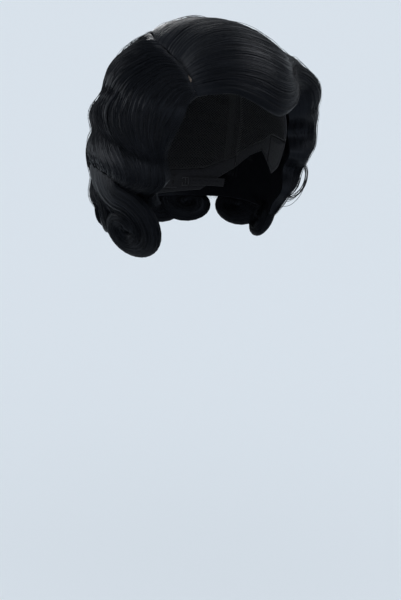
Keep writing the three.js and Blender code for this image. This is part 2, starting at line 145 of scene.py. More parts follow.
# %% A piece from points and faces
def add_piece(name, points, faces, finish, body="wig", stands_for=(), uv=None, slots=None,
              flat_after=None):
    """points (n, 3) in mm and a list of face arrays become one closed piece that rides on a body."""
    points = np.asarray(points, float).reshape(-1, 3)
    if volume(points - points.mean(0), faces) < 0:
        faces = [group[:, ::-1] for group in faces]
    corners = np.concatenate([group.ravel() for group in faces]).astype(np.int32)
    sizes = np.concatenate([np.full(len(group), group.shape[1]) for group in faces])
    starts = np.concatenate([[0], np.cumsum(sizes)[:-1]]).astype(np.int32)
    mesh = bpy.data.meshes.new(name)
    mesh.vertices.add(len(points))
    mesh.vertices.foreach_set("co", (points * MM).astype(np.float32).ravel())
    mesh.loops.add(len(corners))
    mesh.loops.foreach_set("vertex_index", corners)
    mesh.polygons.add(len(sizes))
    mesh.polygons.foreach_set("loop_start", starts)
    smooth = np.ones(len(sizes), bool)
    if flat_after is not None:
        smooth[sum(len(group) for group in faces[:flat_after]):] = False
    mesh.polygons.foreach_set("use_smooth", smooth)
    for material in finish if isinstance(finish, list) else [finish]:
        mesh.materials.append(material)
    if slots is not None:
        mesh.polygons.foreach_set("material_index", np.asarray(slots, np.int32))
    if uv is not None:
        layer = mesh.uv_layers.new(name="combed")
        layer.data.foreach_set("uv", np.asarray(uv, np.float32)[corners].ravel())
    mesh.update(calc_edges=True)
    piece = bpy.data.objects.new(name, mesh)
    bpy.context.scene.collection.objects.link(piece)
    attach(piece, body)
    if stands_for:
        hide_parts(*stands_for)
    TRIANGLES[name] = int((sizes - 2).sum())
    return piece


# %% Slabs and tubes
def slab_faces(rows, columns):
    """Faces of the solid between two grids, the outer one first, with a wall all round."""
    n = rows * columns
    top, bottom = np.arange(columns), (rows - 1) * columns + np.arange(columns)
    left, right = np.arange(rows) * columns, np.arange(rows) * columns + columns - 1
    walls = []
    for line, turn in ((top, 1), (bottom, -1), (left, -1), (right, 1)):
        wall = np.stack([line[:-1], line[:-1] + n, line[1:] + n, line[1:]], -1)
        walls.append(wall[:, ::turn])
    return [quads(rows, columns), quads(rows, columns, n)[:, ::-1], *walls]


def sweep(centres, acrosses, ups, sides):
    """Many tubes at once: centres, acrosses and ups are (tubes, stations, 3); each section is an oval about its
    centre, cos t * across + sin t * up, and each end is closed with one flat face."""
    tubes, stations, _ = centres.shape
    t = 2 * np.pi * np.arange(sides) / sides
    rings = (centres[:, :, None] + np.cos(t)[:, None] * acrosses[:, :, None]
             + np.sin(t)[:, None] * ups[:, :, None])
    one = quads(stations, sides, 0, True)
    ends = tube_ends(stations, sides)
    step = (stations * sides) * np.arange(tubes)[:, None, None]
    return rings.reshape(-1, 3), [(one + step).reshape(-1, 4), (ends + step).reshape(-1, sides)]


print("face groups of a slab:", len(slab_faces(2, 2)))


# %% [markdown]
# ## Places on the head
# The cap fits an egg-shaped head: an ellipsoid that is taller below its widest level than above. A place is a
# direction from the middle of the head, plus a height above the head's skin.

# %% Head form
HALF_WIDTH, HALF_LENGTH, ABOVE, BELOW = 76.0, 96.0, 90.0, 140.0


def direction(azimuth, polar):
    """Unit directions: azimuth 0 is the forehead and 90 the wearer's left ear; polar 0 is straight up."""
    a, p = np.radians(azimuth), np.radians(polar)
    return np.stack(np.broadcast_arrays(np.sin(a) * np.sin(p), -np.cos(a) * np.sin(p), np.cos(p)), -1)


def head_radius(d):
    """Distance from the head's centre to its skin along d: 1 / the length of d measured in half-axes."""
    vertical = np.where(d[..., 2] >= 0, ABOVE, BELOW)
    return 1 / np.sqrt((d[..., 0] / HALF_WIDTH) ** 2 + (d[..., 1] / HALF_LENGTH) ** 2 + (d[..., 2] / vertical) ** 2)


def raised(d, height):
    """The point at a height in mm above the head along d."""
    return HEAD_CENTRE + d * (head_radius(d) + height)[..., None]


def unit(v):
    """Each vector at length 1."""
    return v / np.maximum(np.linalg.norm(v, axis=-1, keepdims=True), 1e-9)


# %% [markdown]
# ## How the hair is combed
# A wig maker sets finger waves lock by lock, so the hair is described lock by lock too. Each guide is one lock from
# its root to its tip, as places on the head with the hair's thickness there. Between the guides the hair follows
# smoothly, so one formula in two numbers, u across the locks and v along them, gives every strand.

# %% Guides
WAVE_PITCH, WAVE_LEVEL, WAVE_HEIGHT, WAVE_SWAY = 11.5, 93.0, 3.6, 6.0
SHOULDER = WAVE_LEVEL - 2.5 * WAVE_PITCH
MIDDLE = WAVE_LEVEL + 0.5 * WAVE_PITCH


def fall(azimuth, first, height, tip_height, sway=WAVE_SWAY, drift=0, last=139, power=2):
    """A lock from one ridge to the next down the head: it sways to one side and back at each ridge."""
    count = round((last - first) / WAVE_PITCH)
    rows = []
    for i in range(count + 1):
        f, polar = i / count, first + WAVE_PITCH * i
        turn = -1 if round((polar - WAVE_LEVEL) / WAVE_PITCH) % 2 == 0 else 1
        rows.append((azimuth + drift * f + sway * turn, polar, height + (tip_height - height) * f ** power, 1))
    return rows


# Each row is azimuth, polar, height above the head and, where it isn't 0, how much of the wave shows.
GUIDES = [
    [(-37, 54, 5), (-28, 53.5, 9), (-15, 53, 11), (-3, 57.5, 11), (8, 63.5, 12), (17, 66.5, 13), (27, 65, 16),
     (35, 61, 20), (43, 57, 22), (51, 60, 26, 0.5), *fall(58, 70, 29, 6, 4.5, 0, 139, 1.5)],
    [(-43, 46, 5), (-31, 45, 11), (-14, 45, 15), (2, 49, 17), (13, 54.5, 18), (22, 57, 20), (31, 56, 23),
     (39, 53, 25), (46, 51, 26), (54, 56, 32, 0.5), *fall(64, 70, 37, 6, 4.5, 0, 139, 1.4)],
    [(-53, 38, 5), (-38, 35, 13), (-14, 34, 19), (8, 38, 22), (21, 44, 24), (30, 48, 25), (38, 48, 26),
     (45, 46, 27), (52, 46, 30), (61, 54, 39, 0.5), *fall(72, 70, 44, 7, 4.5, 0, 139, 1.1)],
    [(-68, 30, 5), (-52, 21, 15), (-10, 18, 23), (30, 27, 26), (42, 34, 28), (49, 39, 29), (55, 41, 29),
     (61, 43, 33), (67, 48, 38, 0.5), (74, 59, 41, 1), *fall(82, 70, 42, 10, 4.5, 0, 139, 1.1)],
    [(-88, 27, 11), (-88, 12, 19), (70, 8, 25), (80, 20, 27), (82, 29, 28), (84, 36, 29), (87, 44, 30, 0.5),
     (89, 52, 31, 1), (91, 60, 33, 1), *fall(94, 70, 33, 14, 4.5, 0, 139, 1.4)],
    [(-108, 27, 18), (-142, 13, 23), (140, 16, 26), (120, 28, 27), (114, 38, 27), (111, 48, 26, 0.5),
     (110, 58.5, 26, 1), *fall(108, 70, 27, 17)],
    [(-125, 28, 21), (-158, 22, 24), (165, 25, 26), (144, 36, 25), (136, 47, 24, 0.5), (131, 58.5, 23, 1),
     *fall(128, 70, 22, 18)],
    [(-138, 30, 22), (-166, 33, 24), (172, 38, 25), (159, 48, 23, 0.5), (153, 58.5, 22, 1),
     *fall(150, 70, 21, 18)],
    [(-147, 32, 22), (-164, 39, 24), (-177, 48, 23, 0.5), (178, 58.5, 22, 1), *fall(172, 70, 21, 18)],
    [(-146, 34.5, 22), (-153, 42, 23), (-159, 50, 22, 0.5), (-163, 58.5, 21, 1), *fall(-166, 70, 22, 20)],
    [(-130, 31.5, 21), (-137, 42, 22), (-143, 50, 24, 0.5), (-149, 58.5, 23, 0.8), (-152, 70, 22, 1),
     (-149, 82, 23, 1), (-141, 93, 23, 1), *fall(-139, 104.5, 24, 22)],
    [(-108, 29.5, 17), (-118, 38, 22), (-126, 48, 24, 0.3), (-133, 58.5, 23, 0.4), (-136, 70, 21, 0.4),
     (-133, 81, 20, 0.6), (-121, 93, 23, 1), *fall(-112, 104.5, 25, 23)],
    [(-82, 30, 9), (-95, 35, 15), (-105, 46, 19, 0.2), (-112, 58, 19, 0.3), (-114, 69, 21, 0.4),
     (-110, 80, 22, 0.6), (-95, 92, 24, 0.9), *fall(-84, 104.5, 26, 23, 7)],
    [(-63, 34, 5), (-79, 37, 11), (-88, 46, 15, 0.1), (-94, 58, 18, 0.2), (-94, 70, 20, 0.3),
     (-87, 81, 22, 0.5), (-73, 93, 24, 0.9), *fall(-70, 104.5, 25, 22, 7)],
    [(-52, 40, 5), (-66, 43, 10), (-74, 52, 14), (-77, 63, 17, 0.1), (-75, 74, 19, 0.2),
     (-69, 84, 21, 0.4), (-61, 94, 23, 0.9), *fall(-63, 104.5, 24, 21)],
    [(-46, 47, 5), (-55, 50, 9), (-61, 59, 13), (-63, 70, 16, 0.1), (-61, 81, 18, 0.3),
     (-56, 93, 20, 0.9), *fall(-58, 104.5, 21, 19, 5)],
    [(-41, 54, 5), (-44, 60, 8), (-46, 69, 11, 0.1), (-50, 80, 14, 0.3), (-53, 93, 17, 0.9),
     *fall(-54, 104.5, 18, 17, 4.5)],
]
STATIONS = 96               # even steps along each lock
LAST = len(GUIDES) - 1
print("rows in the guides:", sum(len(guide) for guide in GUIDES))


# %% Smooth locks from the guides
def extended(rows):
    """Rows with one more at each end, on a straight line with the last two."""
    return np.concatenate([[2 * rows[0] - rows[1]], rows, [2 * rows[-1] - rows[-2]]])


def smooth_weights(f):
    """Catmull-Rom weights of the four rows around a fraction f of a step."""
    return 0.5 * np.stack([-f + 2 * f**2 - f**3, 2 - 5 * f**2 + 3 * f**3, f + 4 * f**2 - 3 * f**3, f**3 - f**2])


def smooth_route(rows, steps):
    """A smooth curve through the rows, with a number of steps from each row to the next."""
    wide, weights = extended(rows), smooth_weights(np.arange(steps) / steps)
    return np.concatenate([weights.T @ wide[i:i + 4] for i in range(len(rows) - 1)] + [rows[-1:]])


def comb(guide):
    """One guide as STATIONS + 1 rows of x, y, z on the head, height and wave, equally spaced along the lock."""
    rows = np.array([[*g, 0][:4] if len(g) == 3 else list(g) for g in guide], float)
    d = direction(rows[:, 0], rows[:, 1])
    rows = np.concatenate([d * head_radius(d)[:, None], rows[:, 2:]], 1)
    fine = smooth_route(rows, 24)
    lengths = np.concatenate([[0], np.cumsum(np.linalg.norm(np.diff(fine[:, :3], axis=0), axis=1))])
    even = np.linspace(0, lengths[-1], STATIONS + 1)
    LENGTHS.append(lengths[-1])
    return np.stack([np.interp(even, lengths, fine[:, c]) for c in range(fine.shape[1])], 1)


LENGTHS = []
NETTING = np.array([comb(guide) for guide in GUIDES])
PADDED = extended(np.array([extended(rows) for rows in NETTING]))
print("locks:", len(GUIDES), "lengths:", [round(x) for x in LENGTHS], "mm")


# %% The formula for a strand
def combed_rows(u, v):
    """x, y, z on the head, height and wave at lock position u and share v of the way from root to tip."""
    u, v = np.broadcast_arrays(np.clip(u, 0, LAST), np.clip(v, -1 / STATIONS, 1) * STATIONS)
    i, j = np.clip(u.astype(int), 0, LAST - 1), np.clip(v.astype(int), 0, STATIONS - 1)
    across, along = smooth_weights(u - i), smooth_weights(v - j)
    total = 0
    for a in range(4):
        for b in range(4):
            total = total + (across[a] * along[b])[..., None] * PADDED[i + a, j + b]
    return total


def hair_at(u, v):
    """The direction from the head's centre and the hair's height there. Rolls of the finger wave follow the level
    down the head: one rounded ridge for every two steps of the sway, wandering up and down round the head."""
    rows = combed_rows(u, v)
    d = unit(rows[..., :3])
    polar = np.degrees(np.arccos(np.clip(d[..., 2], -1, 1)))
    azimuth = np.arctan2(d[..., 0], -d[..., 1])
    meander = 0.3 * np.sin(3 * azimuth + 0.6) * (1 - np.cos(azimuth))
    phase = (polar - WAVE_LEVEL) / WAVE_PITCH + meander
    roll = 2 * (np.sin(np.pi / 2 * phase) ** 2 + 0.02) ** 0.5 - 1.2
    uneven = 1 + 0.35 * np.sin(1.1 * phase + 4 * azimuth)
    return d, rows[..., 3] + WAVE_HEIGHT * rows[..., 4] * roll * uneven


def passes(u, polar):
    """Where the lock at u last passes a level on its way down, as a share of its length."""
    rows = combed_rows(np.asarray(u)[:, None], np.arange(STATIONS + 1)[None] / STATIONS)
    level = np.degrees(np.arccos(unit(rows[..., :3])[..., 2]))
    k = np.clip(STATIONS - np.argmax((level <= polar)[:, ::-1], 1), 0, STATIONS - 1)
    row = np.arange(len(level))
    polar = np.broadcast_to(np.ravel(polar), len(level))
    return (k + (polar - level[row, k]) / (level[row, k + 1] - level[row, k])) / STATIONS


print("shoulder and middle of lock 8:", [float(np.round(passes([8.0], x)[0], 3)) for x in (SHOULDER, MIDDLE)])

# %% [markdown]
# ## The comb's grooves
# Combed and set hair splits into locks, then into finer and finer bunches. Noise that is stretched along the strands
# gives this: where it crosses its middle value, two bunches meet in a sharp crease.

# %% Grooves
LOCK_MM = 34.0      # about how far apart the guides are, across the hair
LENGTH_MM = 260.0   # about how long a lock is
TABLE = np.random.default_rng(7).random((256, 256))


def noise(x, y):
    """Smooth noise from 0 to 1: random values on whole numbers, blended by 3t^2 - 2t^3 between them."""
    i, j = np.floor(x).astype(int), np.floor(y).astype(int)
    f, g = x - i, y - j
    f, g = f * f * (3 - 2 * f), g * g * (3 - 2 * g)
    a, b = TABLE[i % 256, j % 256], TABLE[(i + 1) % 256, j % 256]
    c, d = TABLE[i % 256, (j + 1) % 256], TABLE[(i + 1) % 256, (j + 1) % 256]
    return (a * (1 - f) + b * f) * (1 - g) + (c * (1 - f) + d * f) * g


def crease(n):
    """0 where the noise is at its middle value and rising steeply to 1 away from it, as between two bunches."""
    return 1 - np.abs(1 - np.abs(2 * n - 1)) ** 3


def grooves(across, along):
    """How far the hair's surface lies below its fullest height, in mm, across and along the strands in mm."""
    drift = 2.5 * noise(across / 30, along / 45 + 7)
    lock = crease(noise((across + 2 * drift) / 8.0, along / 70 + 11))
    bunch = crease(noise((across + drift) / 3.0 + 40, along / 50))
    strand = crease(noise(across / 1.25 + 90, along / 40 + 3))
    return 0.9 * (1 - lock) + 0.45 * (1 - bunch) + 0.22 * (1 - strand)


print("groove depth over a patch, mm:", round(float(grooves(*np.mgrid[0:60.0, 0:60.0]).mean()), 2))


# %% Nodes of a material
FIBRE_SHEEN = (0.86, 0.95, 1.15, 1)     # the cool tint of a highlight on blue-black fibre


def new_material(name):
    """A material with one Principled shader, and that shader."""
    material = bpy.data.materials.new(name)
    material.use_nodes = True
    return material, material.node_tree.nodes["Principled BSDF"]


def set_values(node, **values):
    """Sets sockets of a node by name, with spaces written as underscores."""
    for name, value in values.items():
        node.inputs[name.replace("_", " ")].default_value = value


def add_node(material, kind, **values):
    """A new node of a kind in a material, with its sockets set."""
    node = material.node_tree.nodes.new("ShaderNode" + kind)
    set_values(node, **values)
    return node


def ramp(material, dark, light, first=0.0, last=1.0):
    """A colour ramp from dark to light between two values."""
    node = add_node(material, "ValToRGB")
    for element, position, colour in zip(node.color_ramp.elements, (first, last), (dark, light)):
        element.position, element.color = position, (*colour, 1)
    return node


def connect(material, *routes):
    """Links, each given as a node, its output, the next node and its input."""
    for node, output, after, socket in routes:
        material.node_tree.links.new(node.outputs[output], after.inputs[socket])


def combed_map(material):
    """The piece's own map: mm across and along the strands or the weave."""
    node = add_node(material, "UVMap")
    node.uv_map = "combed"
    return node


# %% Hair finishes
def combed_hair():
    """Blue-black synthetic fibre laid side by side: fine streaks of tone and fine ridges along the combed map."""
    material, shader = new_material("combed_hair")
    place = combed_map(material)
    stretch = add_node(material, "Mapping", Scale=(1.6, 0.02, 1))
    streaks = add_node(material, "TexNoise", Scale=1.0, Detail=3)
    tone = ramp(material, (0.0016, 0.0018, 0.0024), (0.0045, 0.0048, 0.0062), 0.35, 0.7)
    gloss = add_node(material, "MapRange", To_Min=0.34, To_Max=0.46)
    ridge = add_node(material, "Bump", Strength=0.35, Distance=0.0003)
    connect(material, (place, "UV", stretch, "Vector"), (stretch, "Vector", streaks, "Vector"),
            (streaks, "Fac", tone, "Fac"), (streaks, "Fac", gloss, "Value"), (streaks, "Fac", ridge, "Height"),
            (tone, "Color", shader, "Base Color"), (gloss, "Result", shader, "Roughness"),
            (ridge, "Normal", shader, "Normal"))
    set_values(shader, Specular_IOR_Level=0.085, Specular_Tint=FIBRE_SHEEN)
    return material


def strand_tone(name, colour, roughness):
    """One tone of a single drawn fibre. A fibre is too thin to show a pattern, so the tones differ between fibres."""
    material, shader = new_material(name)
    set_values(shader, Base_Color=(*colour, 1), Roughness=roughness, Specular_IOR_Level=0.1,
               Specular_Tint=FIBRE_SHEEN)
    return material


COMBED_HAIR = combed_hair()
STRAND_TONES = [
    strand_tone("strand_blue_black", (0.0026, 0.0030, 0.0042), 0.36),
    strand_tone("strand_soft_black", (0.0042, 0.0043, 0.0050), 0.42),
    strand_tone("strand_deep_black", (0.0016, 0.0018, 0.0023), 0.32),
]
print("hair finishes:", COMBED_HAIR.name, *(tone.name for tone in STRAND_TONES))

# %% [markdown]
# ## The body of the hair
# Under the loose strands lies a body of packed hair. It is made as a solid between the cap side and the combed outer
# surface, with the grooves pressed into the outside. Its free edges at the face roll under, as a set edge does.

# %% Rounded edges
INNER, ROOT_INNER, THINNEST = 5.5, 3.8, 1.3     # mm: where the hair begins above the head, and its thinnest
EDGE_ROLL = 9.0         # mm over which a free side edge rounds down to the cap
ROOT_ROLL = 8.0         # mm over which the hair rises from the parting
ROOT_START = 2.7        # mm before the guides' first rows where that rise begins
PARTING_LOCKS = (5.2, 11.0)     # between these locks the parting is closed
ROOT_AT = -0.0104       # where the roots begin, as a share of a lock, so that the parting's two sides meet


def quarter_round(near):
    """A quarter of an ellipse: 0 at 0, rising steeply, and 1 from 1 on."""
    return np.sqrt(1 - (1 - np.clip(near, 0, 1)) ** 2)


def edge_round(u):
    """1 inside the hair, falling as a quarter of an ellipse to 0 at its two free sides."""
    return quarter_round(np.minimum(u, LAST - u) * LOCK_MM / EDGE_ROLL)


def root_round(u, v):
    """How full the hair stands near its roots: it rises from the parting strip along a quarter of an ellipse, and
    where the parting closes, towards the back of the crown, it only dips a little."""
    rise = quarter_round((v * LENGTH_MM + ROOT_START) / ROOT_ROLL)
    open_parting = np.clip(np.maximum(PARTING_LOCKS[0] - u, u - PARTING_LOCKS[1]) / 1.4, 0, 1)
    return rise + (1 - rise) * (1 - open_parting) * 0.95


def end_round(v, end, reach):
    """1 above the end of the hair, falling as a quarter of an ellipse to 0 over the last part of it."""
    return quarter_round((end - v) * LENGTH_MM / reach)


print("edge rounding over the first lock:", np.round(edge_round(np.linspace(0, 0.3, 4)), 2))


# %% The outside of the hair
def hair_surface(u, v, end=None, reach=14.0):
    """Directions and heights of the hair's outside: the combed height less the grooves, rolled under at free sides
    and, where end is given, at the tips."""
    d, height = hair_at(u, v)
    inner = np.minimum(INNER, np.maximum(ROOT_INNER, height - THINNEST))
    full = height - inner
    depth = np.minimum(grooves(u * LOCK_MM, v * LENGTH_MM), 0.45 * full)
    shape = edge_round(u) * root_round(u, v)
    if end is not None:
        shape = shape * end_round(v, end, reach)
    return d, inner, inner + (full - depth) * shape


print("hair height over lock 8, mm:", np.round(hair_surface(8.0, np.linspace(0, 1, 5))[2], 1))


# %% A section of hair
SECTIONS = {}
COLUMNS_PER_LOCK, ROW_MM = 42, 2.4


def fine_ended(first, last, count):
    """Evenly spaced values with one more close to each end, so that two sections shade alike where they meet."""
    even = np.linspace(first, last, count)
    near = 0.12 * (even[1] - even[0])
    return np.concatenate([even[:1], [first + near], even[1:-1], [last - near], even[-1:]])


def hair_section(name, first, last, start, end, tips=False):
    """One section of hair between two locks and two places along them, as a solid with grooves in its outside."""
    u = fine_ended(first, last, round((last - first) * COLUMNS_PER_LOCK) + 1)
    columns = len(u)
    begin, finish = start(u), end(u)
    t = fine_ended(0, 1, max(8, round(float((finish - begin).max()) * LENGTH_MM / ROW_MM)) + 1)[:, None]
    rows = len(t)
    v = begin + (finish - begin) * t
    u2 = np.broadcast_to(u, v.shape)
    d, inner, outer = hair_surface(u2, v, end=finish if tips else None)
    points = np.stack([raised(d, outer), raised(d, inner - 0.05)])
    uv = np.stack([u2 * LOCK_MM, v * LENGTH_MM], -1)
    uv = np.concatenate([uv.reshape(-1, 2), uv.reshape(-1, 2)])
    add_piece(f"{name}_body", points, slab_faces(rows, columns), COMBED_HAIR, stands_for=[name], uv=uv,
              flat_after=2)
    SECTIONS[name] = (first, last, start, end, tips)


print("a section's columns to a lock:", COLUMNS_PER_LOCK, "and mm between its rows:", ROW_MM)


# %% Where the sections meet
HEM, CURL_LIFT = 132.0, 11.0        # degrees down the head; the hem rises over the right side's pin curl
PALE_SPOTS = (1.65, 14.4)           # the locks on either side of the short stretch where the parting shows


def at_level(polar):
    """A function of u: where that lock passes a level."""
    return lambda u: passes(u, polar)


def root(u):
    """The root end of every lock: a little before it, so that the two sides of the parting meet, except for one short
    stretch near the forehead where they stay a hair's breadth apart."""
    apart = sum(np.clip(2.2 - 4 * np.abs(u - spot), 0, 1) for spot in PALE_SPOTS)
    return ROOT_AT + 0.0088 * apart


def dip(u):
    """Where the fringe dips at the temple before it turns up."""
    return 0.66 * passes(u, SHOULDER)


def hem(u):
    """Where each lock passes the hem: lower round the nape, higher over the pin curl beside the face. Between the two
    it follows 3t^2 - 2t^3."""
    step = np.clip((u - 11.4) / 1.2, 0, 1)
    return passes(u, (HEM - CURL_LIFT * step * step * (3 - 2 * step))[:, None])


shoulder, middle = at_level(SHOULDER), at_level(MIDDLE)
print("lock 8 ends at:", float(np.round(hem(np.array([8.0]))[0], 3)))

# %% The sections
for name, first, last, start, end in (
    ("fringe_sweep", 0, 3, root, dip), ("fringe_turn", 0, 3, dip, shoulder),
    ("crown_hair_left", 3, 6, root, shoulder), ("crown_hair_back", 6, 11, root, shoulder),
    ("crown_hair_right", 11, 16, root, shoulder),
):
    hair_section(name, first, last, start, end)
for side, first, last in (("left_front", 0, 3), ("left_back", 3, 6), ("back_left", 6, 8),
                          ("back_right", 8, 11), ("right_back", 11, 13), ("right_front", 13, 16)):
    hair_section(f"{side}_upper_wave", first, last, shoulder, middle)
    hair_section(f"{side}_lower_wave", first, last, middle, hem, tips=True)
print("hair bodies:", len(SECTIONS), "triangles:", sum(TRIANGLES.values()))

# %% [markdown]
# ## Loose strands
# A smooth body alone would look carved. Thin strands laid over it, a little above and across each other, give the
# broken highlights and the soft outline of real hair. Each is a closed three-sided tube that thins towards its ends.

# %% Strands
RANDOM = np.random.default_rng(21)
STRAND_THICKNESS = (0.16, 0.3)      # mm, half of the thinnest and thickest strands
STRANDS_PER_LOCK = 95
STRAND_STATIONS = {"crown_hair_left": 30, "crown_hair_back": 22, "crown_hair_right": 22, "fringe_sweep": 22}
SHORT_STRAND_STATIONS = 14
STRAY_SHARE = 0.04                  # the share of strands that stand off the rest


def lay_strands(name, centres, normals, thickness):
    """Strands along rows of centres, as three-sided tubes that thin to their ends."""
    count, stations, _ = centres.shape
    tangent = unit(np.gradient(centres, axis=1))
    across = unit(np.cross(tangent, normals))
    up = np.cross(across, tangent)
    s = np.linspace(0, 1, stations)
    taper = np.clip(np.minimum(s * 6, (1 - s) * 4), 0.12, 1)
    radius = (thickness[:, None] * taper)[..., None]
    points, faces = sweep(centres, across * radius, up * radius, 3)
    tones = RANDOM.integers(0, 3, count)
    slots = np.concatenate([np.repeat(tones, (stations - 1) * 3), np.repeat(tones, 2)])
    add_piece(name, points, faces, STRAND_TONES, slots=slots)


def section_strands(name, count, stations):
    """Strands over one section: u stays nearly still, v runs past both ends of the section, and the height is the
    hair's own plus an arch that dips under the surface at the ends."""
    first, last, start, end, tips = SECTIONS[name]
    u0 = RANDOM.uniform(first + 0.01, last - 0.01, count)
    begin, finish = start(u0), end(u0)
    span = finish - begin
    begin = np.clip(begin - span * RANDOM.uniform(-0.1, 0.22, count), ROOT_AT, 1)
    finish = np.clip(finish + span * RANDOM.uniform(-0.1, 0.2, count) * (0.3 if tips else 1), 0, 1)
    t = np.linspace(0, 1, stations)[None]
    v = begin[:, None] + (finish - begin)[:, None] * t
    turn, phase = RANDOM.normal(0, 0.028, (count, 1)), RANDOM.uniform(0, 6.28, (count, 1))
    u = np.clip(u0[:, None] + turn * np.sin(RANDOM.uniform(1, 3, (count, 1)) * t * 3 + phase), 0.004, LAST - 0.004)
    rise = RANDOM.uniform(-0.05, 0.32, (count, 1))
    stray = RANDOM.random((count, 1)) < STRAY_SHARE
    rise = np.where(stray, RANDOM.uniform(0.6, 2.6, (count, 1)), rise)
    arch = np.sin(np.pi * np.clip(t, 0, 1)) ** 0.5
    d, _, height = hair_surface(u, v, end=finish[:, None] if tips else None, reach=8.0)
    centres = raised(d, height + rise * arch - 0.35 * (1 - arch))
    lay_strands(f"{name}_strands", centres, d, RANDOM.uniform(*STRAND_THICKNESS, count))


for name, (first, last, *_) in SECTIONS.items():
    section_strands(name, (last - first) * STRANDS_PER_LOCK, STRAND_STATIONS.get(name, SHORT_STRAND_STATIONS))
print("strands:", sum(v for k, v in TRIANGLES.items() if k.endswith("strands")), "triangles")

# %% [markdown]
# ## Pin curls
# A pin curl is the end of a lock wound flat round a finger. It is an oval section carried along a spiral that lies
# against the side of the neck, with the comb's grooves running along it.

# %% The curl's path
CURL_RING, CURL_TURNS, CURL_PITCH = 19.0, 1.02, 15.5    # mm to the first turn, turns, mm closer after each
CURL_HALF_WIDTH, CURL_TIP_HALF_WIDTH, CURL_HALF_THICKNESS = 10.5, 7.0, 6.5
CURL_LEAD, CURL_INSIDE = -0.25, 1.4     # the lock comes in before the full turn and goes on inside it


def curl_place(azimuth, polar, lift, turn, spread):
    """The curl's middle and its three directions: out of the head, sideways (longer by spread) and up."""
    out = direction(azimuth, polar)
    normal = unit(np.array([out[0], out[1], 0.35 * out[2]]))
    along = unit(np.cross([0, 0, 1], normal)) * turn
    return raised(out, np.array(lift)), normal, along * spread, np.cross(normal, along) * turn


def curl_path(place, f, size):
    """Centres of the spiral and the directions across it. The radius shrinks evenly with the angle. Before the spiral
    starts, the lock comes down out of the hair along a parabola: back b, up b^2 / 50 and in b^2 / (42 size), but
    never so far in that it would come through the cap."""
    centre, normal, along, up = place
    angle = 2 * np.pi * CURL_TURNS * np.maximum(f, 0) + np.pi / 2
    radial = np.cos(angle)[..., None] * along + np.sin(angle)[..., None] * up
    radius = size * np.maximum(CURL_RING - CURL_PITCH * CURL_TURNS * np.maximum(f, 0), 2.0)
    back = 2 * np.pi * CURL_TURNS * CURL_RING * size * np.maximum(-f, 0)[..., None]
    centres = centre + radial * radius[..., None] + along * back + up * back**2 / 50 - normal * back**2 / (42 * size)
    start = centre + up * size * CURL_RING - HEAD_CENTRE
    lowest = min(np.linalg.norm(start) - head_radius(unit(start)), INNER + CURL_HALF_THICKNESS * size)
    d = unit(centres - HEAD_CENTRE)
    height = np.maximum(np.linalg.norm(centres - HEAD_CENTRE, axis=-1) - head_radius(d), lowest)
    return np.where(back > 0, raised(d, height), centres), radial - along * back / 25


def curl_size(f, size):
    """Half-width and half-thickness along the curl: they shrink evenly, and both ends round to almost nothing."""
    pinch = np.maximum(quarter_round(np.minimum((f - CURL_LEAD) * 8, (CURL_INSIDE - f) * 5)), math.sqrt(0.02))
    half = size * (CURL_HALF_WIDTH + (CURL_TIP_HALF_WIDTH - CURL_HALF_WIDTH) * f)
    return half * pinch, size * CURL_HALF_THICKNESS * (1 - 0.3 * f) * pinch


print("half-width and half-thickness at the start of a curl:", [round(float(x), 1) for x in curl_size(0.0, 1.0)])

# %% Pin curls
CURL_ROWS, CURL_SIDES = 110, 64
CURL_STRANDS, CURL_STRAND_STATIONS = 200, 30
CURL_LENGTH = 110       # mm along the lock, for its grooves
SIDE_MM = 1.3           # mm of hair's width to each sixth of a radian round the lock


def curl_body(name, azimuth, place, size):
    """A grooved oval tube along the spiral. The grooves of two turns of noise are blended, so that they close."""
    normal = place[1]
    f = np.linspace(CURL_LEAD, CURL_INSIDE, CURL_ROWS)
    t = 2 * np.pi * np.arange(CURL_SIDES) / CURL_SIDES
    centres, radial = curl_path(place, f, size)
    half, thick = curl_size(f, size)
    around, along = t[None] * 6 + 0 * f[:, None], f[:, None] * CURL_LENGTH
    seam = 0.5 - 0.5 * np.cos(t)[None]
    depth = 1.4 * (grooves(around * SIDE_MM + azimuth, along) * seam
                   + grooves((around - 12 * np.pi) * SIDE_MM + azimuth, along) * (1 - seam))
    w, h = np.maximum(half[:, None] - depth * 0.8, 0.3), np.maximum(thick[:, None] - depth, 0.3)
    points = (centres[:, None] + radial[:, None] * (np.cos(t)[None] * w)[..., None]
              + normal * (np.sin(t)[None] * h)[..., None])
    uv = np.stack(np.broadcast_arrays(around * SIDE_MM, along), -1).reshape(-1, 2)
    add_piece(f"{name}_body", points, [quads(CURL_ROWS, CURL_SIDES, 0, True), tube_ends(CURL_ROWS, CURL_SIDES)],
              COMBED_HAIR, stands_for=[name], uv=uv)


def curl_strands(name, place, size):
    """Loose strands that follow the spiral, each at its own place round the lock and wandering a little."""
    one_each = (CURL_STRANDS, 1)
    t0 = RANDOM.uniform(0, 2 * np.pi, one_each)
    a, b = RANDOM.uniform(CURL_LEAD, 0.0, one_each), RANDOM.uniform(0.85, CURL_INSIDE, one_each)
    f = a + (b - a) * np.linspace(0, 1, CURL_STRAND_STATIONS)[None]
    centres, radial = curl_path(place, f, size)
    t = t0 + RANDOM.normal(0, 0.25, one_each) * np.sin(3 * f + t0)
    half, thick = curl_size(f, size)
    rise = RANDOM.uniform(-0.5, 0.25, one_each)
    side, out = np.cos(t)[..., None] * radial, np.sin(t)[..., None] * place[1]
    centres = centres + side * (half + rise)[..., None] + out * (thick + rise)[..., None]
    lay_strands(f"{name}_strands", centres, unit(side + out), RANDOM.uniform(*STRAND_THICKNESS, CURL_STRANDS))


